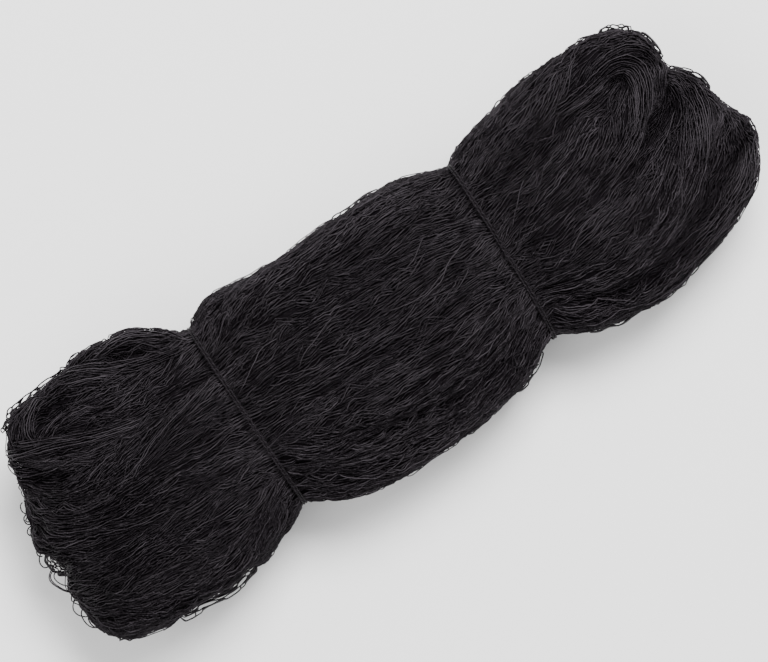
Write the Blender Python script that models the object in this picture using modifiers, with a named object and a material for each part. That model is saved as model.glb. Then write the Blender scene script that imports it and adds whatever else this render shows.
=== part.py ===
"""Bird netting hank: a long net gathered into a rope, folded back and forth, tied twice.

The hank lies along X on the plane z = 0. Its net is one soft solid, and each tie is
a cord of its own that goes twice round a waist. Tables are in millimetres.
"""

import math
from typing import NamedTuple

import bmesh
import bpy
from mathutils import Vector
from mathutils.geometry import convex_hull_2d

MM = 0.001

# Driving dimensions, in metres.
CORD_RADIUS = 0.95 * MM
CORD_TURNS = 2
CORD_PITCH = 2.3 * MM
CORD_CLEARANCE = 0.25 * MM
CORNER_SPACING = 3.0 * MM
WAIST_HALF_WIDTH = CORD_TURNS * CORD_PITCH / 2 + CORD_RADIUS + CORD_CLEARANCE

VOXEL = 4.0 * MM
SMOOTH_FACTOR = 0.5
SMOOTH_REPEATS = 4
DECIMATE_RATIO = 0.18
SECTION_POINTS = 28
SECTION_FULLNESS = 2.35  # exponent of the sections' outline, 2 being an ellipse
FLOOR_BITE = 3.0 * MM  # how much of the round underside is pressed flat
FLOOR_BLOCK = (0.8, 0.4, 0.1)

# Places along the hank, in millimetres.
LEFT_WAIST_X = -98.0
RIGHT_WAIST_X = 83.0
WAIST_THICK = 19.0  # radius of a bundle under a tie
PASS_SHOULDER = 0.6  # how much of the middle lobe has its full thickness
TURN_ANGLES = (90, 60, 30, 0, -30, -60, -90)  # stations round a bight, in degrees


class Section(NamedTuple):
    """Outer size of the net's inner bulk at one place along the hank, in millimetres."""

    x: float
    y_min: float
    y_max: float
    z_min: float
    z_max: float


class Fold(NamedTuple):
    """One bight, where a bundle of net turns back at an end, in millimetres and degrees.

    A leg is given by its y and z where it goes through the waist, and half way out.
    """

    name: str
    end: int  # -1 for the left end, +1 for the right end
    eye: tuple  # x, y and z of the middle of the turn
    gap: float  # how far the eye is open on each side
    heading: float  # way the bight points, measured from the end's own direction
    roll: float  # 0 where the bight lies flat, 90 where it turns from top to bottom
    thick: tuple  # radius of the bundle before, in and after the turn
    out_waist: tuple
    out_leg: tuple
    back_leg: tuple
    back_waist: tuple


class Pass(NamedTuple):
    """One bundle of net that runs from waist to waist, in millimetres, with y and z pairs."""

    name: str
    left_waist: tuple
    middle: tuple
    right_waist: tuple
    thick: float  # radius half way between the waists


SECTIONS = (
    Section(-236, -56, 24, 24, 78),
    Section(-228, -68, 42, 15, 88),
    Section(-214, -75, 58, 9, 93),
    Section(-182, -83, 70, 4, 97),
    Section(-158, -84, 74, 3, 98),
    Section(-135, -77, 72, 3, 98),
    Section(-119, -73, 68, 4, 97),
    Section(-107, -67, 62, 8, 93),
    Section(-98, -57, 57, 11, 91),
    Section(-89, -66, 66, 8, 93),
    Section(-76, -75, 72, 4, 97),
    Section(-51, -81, 66, 0, 103),
    Section(-4, -82, 67, 0, 105),
    Section(44, -79, 69, 0, 103),
    Section(66, -70, 62, 4, 97),
    Section(75, -63, 58, 8, 93),
    Section(83, -58, 54, 11, 90),
    Section(91, -67, 60, 8, 93),
    Section(106, -77, 67, 4, 96),
    Section(139, -80, 75, 2, 97),
    Section(163, -77, 75, 3, 96),
    Section(186, -69, 68, 6, 92),
    Section(208, -56, 54, 12, 84),
    Section(224, -48, 36, 20, 76),
    Section(234, -38, 14, 28, 68),
)

FOLDS = (
    Fold("left_small", -1, (-159, 68, 86), 4, -6, 0, (6, 7, 7), (49, 70), (71, 82), (54, 88), (38, 78)),
    Fold("left_upper", -1, (-191, 63, 86), 2, -6, 0, (7, 17, 17), (39, 74), (61, 86), (28, 90), (12, 80)),
    Fold("left_top", -1, (-179, 43, 46), 1, 2, 90, (24, 24, 24), (36, 66), (46, 70), (44, 28), (34, 38)),
    Fold("left_middle", -1, (-194, 4, 50), 1, -2, 90, (27, 27, 26), (4, 74), (6, 80), (2, 26), (0, 36)),
    Fold("left_lower", -1, (-191, -50, 50), 1, 4, 90, (27, 27, 26),
         (-32, 68), (-58, 74), (-57, 28), (-34, 38)),
    Fold("right_upper", 1, (198, 42, 88), 2, 8, 0, (15, 14, 13), (36, 70), (58, 82), (6, 93), (-4, 78)),
    Fold("right_middle", 1, (215, 13, 80), 1, -20, 0, (9, 12, 18),
         (18, 74), (24, 74), (-37, 87), (-24, 76)),
    Fold("right_lower", 1, (227, -23, 64), 1, -28, 0, (8, 10, 18),
         (-8, 70), (-20, 66), (-68, 64), (-42, 58)),
    Fold("right_under_upper", 1, (174, 34, 46), 1, 4, 90, (23, 23, 23),
         (30, 64), (44, 66), (44, 28), (30, 40)),
    Fold("right_under_middle", 1, (186, -14, 44), 1, -4, 90, (24, 24, 24),
         (-4, 64), (-6, 68), (-6, 26), (0, 36)),
    Fold("right_under_lower", 1, (180, -44, 42), 1, -4, 90, (20, 20, 20),
         (-36, 60), (-58, 58), (-56, 26), (-34, 40)),
)

PASSES = (
    Pass("middle_upper", (38, 68), (41, 82), (34, 68), 24),
    Pass("middle_crown", (8, 78), (9, 91), (6, 76), 23),
    Pass("middle_lower", (-26, 74), (-35, 89), (-26, 72), 24),
    Pass("middle_side", (-38, 58), (-60, 62), (-38, 58), 24),
    Pass("middle_under", (34, 42), (34, 30), (30, 42), 28),
    Pass("middle_floor", (-30, 40), (-38, 30), (-30, 40), 28),
)


def clear_scene() -> None:
    """Remove every object that the scene starts with."""
    for obj in list(bpy.data.objects):
        bpy.data.objects.remove(obj, do_unlink=True)


def new_collection(name: str) -> bpy.types.Collection:
    """Make a collection under the scene's own."""
    collection = bpy.data.collections.new(name)
    bpy.context.scene.collection.children.link(collection)
    return collection


def principled(name: str, colour: tuple, roughness: float) -> bpy.types.Material:
    """Make a Principled material."""
    material = bpy.data.materials.new(name)
    material.use_nodes = True
    shader = material.node_tree.nodes["Principled BSDF"]
    shader.inputs["Base Color"].default_value = (*colour, 1.0)
    shader.inputs["Roughness"].default_value = roughness
    return material


def fuller(cosine: float) -> float:
    """Push one coordinate of a unit circle out towards a squarer outline."""
    return math.copysign(abs(cosine) ** (2 / SECTION_FULLNESS), cosine)


def section_ring(section: Section) -> list:
    """Points round one section, a full-shouldered oval between its four sizes."""
    middle_y = (section.y_min + section.y_max) / 2
    middle_z = (section.z_min + section.z_max) / 2
    half_y = (section.y_max - section.y_min) / 2
    half_z = (section.z_max - section.z_min) / 2
    ring = []
    for step in range(SECTION_POINTS):
        angle = math.tau * step / SECTION_POINTS
        y = middle_y + half_y * fuller(math.cos(angle))
        z = middle_z + half_z * fuller(math.sin(angle))
        ring.append(Vector((section.x, y, z)) * MM)
    return ring


def body_loft(mesh: bmesh.types.BMesh) -> None:
    """Loft the three lobes and two waists through the table of sections."""
    rings = [[mesh.verts.new(point) for point in section_ring(row)] for row in SECTIONS]
    for ring, following in zip(rings, rings[1:]):
        for step in range(SECTION_POINTS):
            after = (step + 1) % SECTION_POINTS
            mesh.faces.new((ring[step], ring[after], following[after], following[step]))
    mesh.faces.new(reversed(rings[0]))
    mesh.faces.new(rings[-1])


def fold_stations(fold: Fold) -> list:
    """Centre line of one bight with the bundle's radius, from waist to waist."""
    waist_x = LEFT_WAIST_X if fold.end < 0 else RIGHT_WAIST_X
    out_thick, tip_thick, back_thick = fold.thick
    heading = math.radians(fold.heading)
    roll = math.radians(fold.roll)
    forward = Vector((fold.end * math.cos(heading), math.sin(heading), 0))
    flat_side = Vector((-math.sin(heading) * fold.end, math.cos(heading), 0))
    aside = flat_side * math.cos(roll) + Vector((0, 0, math.sin(roll)))
    eye = Vector(fold.eye)
    turn = []
    for angle in TURN_ANGLES:
        beside_tip = out_thick if angle > 0 else back_thick
        share = math.sin(math.radians(abs(angle)))
        thick = tip_thick + (beside_tip - tip_thick) * share
        spoke = forward * math.cos(math.radians(angle)) + aside * math.sin(math.radians(angle))
        turn.append((eye + spoke * (thick + fold.gap), thick))
    leg_x = (waist_x + fold.eye[0]) / 2
    return [
        (Vector((waist_x, *fold.out_waist)), min(out_thick, WAIST_THICK)),
        (Vector((leg_x, *fold.out_leg)), out_thick),
        *turn,
        (Vector((leg_x, *fold.back_leg)), back_thick),
        (Vector((waist_x, *fold.back_waist)), min(back_thick, WAIST_THICK)),
    ]


def pass_stations(run: Pass) -> list:
    """Centre line of one bundle between the waists, with its radius."""
    middle_x = (LEFT_WAIST_X + RIGHT_WAIST_X) / 2
    reach = (RIGHT_WAIST_X - LEFT_WAIST_X) * PASS_SHOULDER / 2
    stations = [(Vector((LEFT_WAIST_X, *run.left_waist)), WAIST_THICK)]
    for x in (middle_x - reach, middle_x, middle_x + reach):
        stations.append((Vector((x, *run.middle)), run.thick))
    stations.append((Vector((RIGHT_WAIST_X, *run.right_waist)), WAIST_THICK))
    return stations


def bundle_mesh(name: str, stations: list, collection: bpy.types.Collection) -> bpy.types.Mesh:
    """Sweep one bundle as a bevelled curve with a radius at each point, made a mesh."""
    curve = bpy.data.curves.new(name, "CURVE")
    curve.dimensions = "3D"
    curve.bevel_depth = MM
    curve.bevel_resolution = 4
    curve.use_fill_caps = True
    curve.resolution_u = 6
    spline = curve.splines.new("NURBS")
    spline.points.add(len(stations) - 1)
    for point, (place, radius) in zip(spline.points, stations):
        point.co = (*(place * MM), 1)
        point.radius = radius
    spline.order_u = 3
    spline.use_endpoint_u = True
    obj = bpy.data.objects.new(name, curve)
    collection.objects.link(obj)
    mesh = evaluated_mesh(obj)
    bpy.data.objects.remove(obj, do_unlink=True)
    bpy.data.curves.remove(curve)
    return mesh


def evaluated_mesh(obj: bpy.types.Object) -> bpy.types.Mesh:
    """Copy the mesh that an object has once its modifiers have run."""
    bpy.context.view_layer.update()
    depsgraph = bpy.context.evaluated_depsgraph_get()
    return bpy.data.meshes.new_from_object(obj.evaluated_get(depsgraph))


def floor_cutter(collection: bpy.types.Collection) -> bpy.types.Object:
    """Make the block that presses flat what lies on the surface."""
    length, width, depth = FLOOR_BLOCK
    bpy.ops.mesh.primitive_cube_add(size=1, location=(0, 0, FLOOR_BITE - depth / 2))
    cutter = bpy.context.object
    cutter.name = "floor_cutter"
    cutter.scale = (length, width, depth)
    cutter.hide_render = True
    cutter.display_type = "WIRE"
    for other in list(cutter.users_collection):
        other.objects.unlink(cutter)
    collection.objects.link(cutter)
    return cutter


def make_hank(parts: bpy.types.Collection, cutters: bpy.types.Collection) -> bpy.types.Object:
    """Model the gathered and folded net as one solid."""
    merged = bmesh.new()
    body_loft(merged)
    bundles = [(fold.name, fold_stations(fold)) for fold in FOLDS]
    bundles += [(run.name, pass_stations(run)) for run in PASSES]
    for name, stations in bundles:
        bundle = bundle_mesh(name, stations, parts)
        merged.from_mesh(bundle)
        bpy.data.meshes.remove(bundle)
    bmesh.ops.remove_doubles(merged, verts=merged.verts, dist=0.0001 * MM)
    bmesh.ops.recalc_face_normals(merged, faces=merged.faces)
    mesh = bpy.data.meshes.new("net_hank")
    merged.to_mesh(mesh)
    merged.free()
    hank = bpy.data.objects.new("net_hank", mesh)
    parts.objects.link(hank)
    remesh = hank.modifiers.new("one_skin", "REMESH")
    remesh.mode = "VOXEL"
    remesh.voxel_size = VOXEL
    smooth = hank.modifiers.new("soft_folds", "SMOOTH")
    smooth.factor = SMOOTH_FACTOR
    smooth.iterations = SMOOTH_REPEATS
    decimate = hank.modifiers.new("fewer_facets", "DECIMATE")
    decimate.ratio = DECIMATE_RATIO
    flat = hank.modifiers.new("lies_flat", "BOOLEAN")
    flat.object = floor_cutter(cutters)
    flat.operation = "DIFFERENCE"
    flat.solver = "EXACT"
    hank.data.materials.append(principled("black_net", (0.014, 0.013, 0.015), 0.55))
    return hank


def waist_outline(hank: bpy.types.Object, x: float) -> list:
    """Corners of the waist where a taut cord would touch it, as (y, z), lowest first."""
    band = bmesh.new()
    solid = evaluated_mesh(hank)
    band.from_mesh(solid)
    bpy.data.meshes.remove(solid)
    for side in (-1, 1):
        geometry = band.verts[:] + band.edges[:] + band.faces[:]
        place = (x + side * WAIST_HALF_WIDTH, 0, 0)
        bmesh.ops.bisect_plane(band, geom=geometry, plane_co=place, plane_no=(side, 0, 0),
                               clear_outer=True)
    points = [Vector((vert.co.y, vert.co.z)) for vert in band.verts]
    band.free()
    hull = [points[index] for index in convex_hull_2d(points)]
    lowest = min(range(len(hull)), key=lambda index: hull[index].y)
    hull = hull[lowest:] + hull[:lowest]
    corners = [hull[0]]
    for corner in hull[1:]:
        if (corner - corners[-1]).length > CORNER_SPACING:
            corners.append(corner)
    return corners


def cord_loop(corners: list) -> list:
    """Corners of a cord's middle line, everywhere one cord radius and a clearance outside."""
    offset = CORD_RADIUS + CORD_CLEARANCE
    loop = []
    for index, corner in enumerate(corners):
        before = (corner - corners[index - 1]).normalized()
        after = (corners[(index + 1) % len(corners)] - corner).normalized()
        outward = Vector((before.y, -before.x))
        mitre = (outward + Vector((after.y, -after.x))).normalized()
        loop.append(corner + mitre * offset / mitre.dot(outward))
    return loop


def make_tie(name: str, x: float, hank: bpy.types.Object, parts: bpy.types.Collection,
             material: bpy.types.Material) -> bpy.types.Object:
    """Wind one cord round a waist and leave its ends side by side underneath."""
    loop = cord_loop(waist_outline(hank, x))
    curve = bpy.data.curves.new(name, "CURVE")
    curve.dimensions = "3D"
    curve.bevel_depth = CORD_RADIUS
    curve.bevel_resolution = 2
    curve.use_fill_caps = True
    spline = curve.splines.new("POLY")
    spline.points.add(CORD_TURNS * len(loop))
    for step, point in enumerate(spline.points):
        side = CORD_PITCH * (step / len(loop) - CORD_TURNS / 2)
        point.co = (x + side, *loop[step % len(loop)], 1)
    curve.materials.append(material)
    tie = bpy.data.objects.new(name, curve)
    parts.objects.link(tie)
    return tie


def stand_on_origin(frame: bpy.types.Object, pieces: list) -> None:
    """Move the pieces' parent, so that the middle of their box's base is the origin."""
    corners = []
    for piece in pieces:
        shape = evaluated_mesh(piece)
        corners += [vert.co.copy() for vert in shape.vertices]
        bpy.data.meshes.remove(shape)
    lowest = Vector(map(min, zip(*corners)))
    highest = Vector(map(max, zip(*corners)))
    middle = (lowest + highest) / 2
    frame.location = (-middle.x, -middle.y, -lowest.z)


def main() -> None:
    """Build the hank and its two ties."""
    clear_scene()
    parts = new_collection("bird_netting_hank")
    cutters = new_collection("cutters")
    hank = make_hank(parts, cutters)
    cord = principled("black_cord", (0.02, 0.019, 0.021), 0.5)
    left = make_tie("tie_left", LEFT_WAIST_X * MM, hank, parts, cord)
    right = make_tie("tie_right", RIGHT_WAIST_X * MM, hank, parts, cord)
    frame = bpy.data.objects.new("hank_frame", None)
    parts.objects.link(frame)
    for obj in (hank, left, right, *cutters.objects):
        obj.parent = frame
    stand_on_origin(frame, [hank, left, right])


main()
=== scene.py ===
"""Looks of a hank of black bird netting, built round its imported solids.

The hank is a long net gathered into a rope, folded back and forth and tied at two waists.
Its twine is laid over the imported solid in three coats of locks, a lock being a few strands
of the closed mesh that run side by side. Tables are in millimetres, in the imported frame.
What is drawn in plan is drawn as the camera sees it, on the level of its target.
"""

import logging  # noqa: E402
import math  # noqa: E402
from collections.abc import Iterator  # noqa: E402
from dataclasses import dataclass, field  # noqa: E402
from enum import Enum  # noqa: E402
from itertools import product  # noqa: E402

import bmesh  # noqa: E402
import bpy  # noqa: E402
import numpy as np  # noqa: E402
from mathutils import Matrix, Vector  # noqa: E402
from mathutils.bvhtree import BVHTree  # noqa: E402
from mathutils.geometry import convex_hull_2d  # noqa: E402


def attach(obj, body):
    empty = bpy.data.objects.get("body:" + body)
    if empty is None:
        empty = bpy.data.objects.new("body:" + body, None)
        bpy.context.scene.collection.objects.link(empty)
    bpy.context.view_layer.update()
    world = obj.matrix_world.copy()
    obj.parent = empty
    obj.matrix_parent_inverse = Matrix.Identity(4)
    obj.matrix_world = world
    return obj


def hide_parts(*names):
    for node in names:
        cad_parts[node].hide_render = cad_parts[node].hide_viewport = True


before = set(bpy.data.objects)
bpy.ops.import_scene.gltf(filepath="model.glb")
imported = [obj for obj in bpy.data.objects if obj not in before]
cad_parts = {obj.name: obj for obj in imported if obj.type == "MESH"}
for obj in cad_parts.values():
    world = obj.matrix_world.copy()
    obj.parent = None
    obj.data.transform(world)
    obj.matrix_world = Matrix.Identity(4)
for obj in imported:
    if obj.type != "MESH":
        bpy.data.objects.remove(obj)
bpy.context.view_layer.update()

MM = 0.001
PACKED_SHIFT = (0.3, 0.8, -3.0)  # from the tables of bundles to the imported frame
LEFT_WAIST_X = -98.0
RIGHT_WAIST_X = 83.0
WAIST_THICK = 19.0
RUN_SHOULDER = 0.6  # how much of its length a run keeps its full thickness
TURN_ANGLES = (90, 60, 30, 0, -30, -60, -90)
SAME_PLACE = 0.01 * MM  # corners nearer than this are merged

log = logging.getLogger("netting")


@dataclass(frozen=True)
class Eye:
    """Where the camera stands, and how a drawing in plan falls on what it sees."""

    azimuth: float = -33.5
    elevation: float = 87.0
    distance: float = 2200.0
    target: tuple = (-2.4, -3.4, 52.0)

    def back(self) -> np.ndarray:
        """Work out the way from the target to the camera.

        Returns:
            A direction of length one.
        """
        around, above = math.radians(self.azimuth), math.radians(self.elevation)
        flat = math.cos(above)
        return np.array([math.sin(around) * flat, -math.cos(around) * flat, math.sin(above)])

    def place(self) -> np.ndarray:
        """Where the camera is."""
        return np.array(self.target) + self.back() * self.distance

    def drawn(self, points: np.ndarray) -> np.ndarray:
        """Find where places appear on the level of the target.

        Args:
            points: Places, with their coordinates along the last axis.

        Returns:
            Their drawn spots as x and y.
        """
        eye = self.place()
        share = (self.target[2] - eye[2]) / (points[..., 2:] - eye[2])
        return eye[:2] + (points[..., :2] - eye[:2]) * share

    def under(self, plan: np.ndarray, level: np.ndarray) -> np.ndarray:
        """Find the places at a height that appear at drawn spots.

        Args:
            plan: Drawn spots.
            level: The height of each place.

        Returns:
            The places.
        """
        eye = self.place()
        share = (level - eye[2]) / (self.target[2] - eye[2])
        flat = eye[:2] + (plan[..., :2] - eye[:2]) * share[..., None]
        return np.concatenate([flat, level[..., None]], axis=-1)


EYE = Eye()


@dataclass(frozen=True)
class Waist:
    """A place where a cord is tied round the hank."""

    node: str
    x: float  # of the cord's middle at y = 0
    tilt: float  # how far x goes with y

    def beside(self, points: np.ndarray) -> np.ndarray:
        """How far places are to the right of the cord's middle."""
        return points[..., 0] - self.x - self.tilt * points[..., 1]


LEFT_WAIST = Waist("tie_left", -98.1, 0.0)
RIGHT_WAIST = Waist("tie_right", 81.6, 0.03)


class Lobe(Enum):
    """The three lobes that the ties make of the hank."""

    LEFT = "left"
    MIDDLE = "middle"
    RIGHT = "right"

    @classmethod
    def at(cls, place: np.ndarray) -> "Lobe":
        """Tell which lobe a place belongs to.

        Args:
            place: The place.

        Returns:
            Its lobe.
        """
        if LEFT_WAIST.beside(place) < 0:
            return cls.LEFT
        return cls.RIGHT if RIGHT_WAIST.beside(place) > 0 else cls.MIDDLE


@dataclass(frozen=True)
class Bight:
    """A bundle of net that runs out from a waist, turns round an eye and comes back."""

    name: str
    end: int  # -1 at the left end, +1 at the right end
    eye: tuple
    gap: float
    heading: float
    roll: float
    thick: tuple
    out_waist: tuple
    out_leg: tuple
    back_leg: tuple
    back_waist: tuple

    def stations(self) -> list:
        """Follow the bundle's centre line from waist to waist.

        Returns:
            Places, each with the bundle's radius there.
        """
        waist_x = LEFT_WAIST_X if self.end < 0 else RIGHT_WAIST_X
        out_thick, tip_thick, back_thick = self.thick
        heading, roll = math.radians(self.heading), math.radians(self.roll)
        forward = Vector((self.end * math.cos(heading), math.sin(heading), 0))
        flat_side = Vector((-math.sin(heading) * self.end, math.cos(heading), 0))
        aside = flat_side * math.cos(roll) + Vector((0, 0, math.sin(roll)))
        turn = []
        for angle in TURN_ANGLES:
            beside_tip = out_thick if angle > 0 else back_thick
            thick = tip_thick + (beside_tip - tip_thick) * math.sin(math.radians(abs(angle)))
            angle = math.radians(angle)
            spoke = forward * math.cos(angle) + aside * math.sin(angle)
            turn.append((*(Vector(self.eye) + spoke * (thick + self.gap)), thick))
        leg_x = (waist_x + self.eye[0]) / 2
        return [
            (waist_x, *self.out_waist, min(out_thick, WAIST_THICK)),
            (leg_x, *self.out_leg, out_thick),
            *turn,
            (leg_x, *self.back_leg, back_thick),
            (waist_x, *self.back_waist, min(back_thick, WAIST_THICK)),
        ]


@dataclass(frozen=True)
class Run:
    """A bundle of net that runs from waist to waist through the middle lobe."""

    name: str
    left_waist: tuple
    middle: tuple
    right_waist: tuple
    thick: float

    def stations(self) -> list:
        """Follow the bundle's centre line from waist to waist.

        Returns:
            Places, each with the bundle's radius there.
        """
        middle_x = (LEFT_WAIST_X + RIGHT_WAIST_X) / 2
        reach = (RIGHT_WAIST_X - LEFT_WAIST_X) * RUN_SHOULDER / 2
        shoulders = (middle_x - reach, middle_x, middle_x + reach)
        return [
            (LEFT_WAIST_X, *self.left_waist, WAIST_THICK),
            *((x, *self.middle, self.thick) for x in shoulders),
            (RIGHT_WAIST_X, *self.right_waist, WAIST_THICK),
        ]


BUNDLES = (
    Bight("left_small", -1, (-159, 68, 86), 4, -6, 0, (6, 7, 7), (49, 70), (71, 82), (54, 88),
        (38, 78)),
    Bight("left_upper", -1, (-191, 63, 86), 2, -6, 0, (7, 17, 17), (39, 74), (61, 86), (28, 90),
        (12, 80)),
    Bight("left_top", -1, (-179, 43, 46), 1, 2, 90, (24, 24, 24), (36, 66), (46, 70), (44, 28),
        (34, 38)),
    Bight("left_middle", -1, (-194, 4, 50), 1, -2, 90, (27, 27, 26), (4, 74), (6, 80), (2, 26),
        (0, 36)),
    Bight("left_lower", -1, (-191, -50, 50), 1, 4, 90, (27, 27, 26), (-32, 68), (-58, 74),
        (-57, 28), (-34, 38)),
    Bight("right_upper", 1, (198, 42, 88), 2, 8, 0, (15, 14, 13), (36, 70), (58, 82), (6, 93),
        (-4, 78)),
    Bight("right_middle", 1, (215, 13, 80), 1, -20, 0, (9, 12, 18), (18, 74), (24, 74), (-37, 87),
        (-24, 76)),
    Bight("right_lower", 1, (227, -23, 64), 1, -28, 0, (8, 10, 18), (-8, 70), (-20, 66), (-68, 64),
        (-42, 58)),
    Bight("right_under_upper", 1, (174, 34, 46), 1, 4, 90, (23, 23, 23), (30, 64), (44, 66),
        (44, 28), (30, 40)),
    Bight("right_under_middle", 1, (186, -14, 44), 1, -4, 90, (24, 24, 24), (-4, 64), (-6, 68),
        (-6, 26), (0, 36)),
    Bight("right_under_lower", 1, (180, -44, 42), 1, -4, 90, (20, 20, 20), (-36, 60), (-58, 58),
        (-56, 26), (-34, 40)),
    Run("middle_upper", (38, 68), (41, 82), (34, 68), 24),
    Run("middle_crown", (8, 78), (9, 91), (6, 76), 23),
    Run("middle_lower", (-26, 74), (-35, 89), (-26, 72), 24),
    Run("middle_side", (-38, 58), (-60, 62), (-38, 58), 24),
    Run("middle_under", (34, 42), (34, 30), (30, 42), 28),
    Run("middle_floor", (-30, 40), (-38, 30), (-30, 40), 28),
)


class Drawn:
    """A row of a table that has a line of its own."""

    path: tuple

    def line(self, rounds: int = 2) -> np.ndarray:
        """The row's line with its corners rounded."""
        return cut_corners(np.array(self.path, float), rounds)


@dataclass(frozen=True)
class Stroke(Drawn):
    """A line in plan that the twine follows on the upper side, with how far it reaches."""

    name: str
    path: tuple
    reach: float = 7.0


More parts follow.
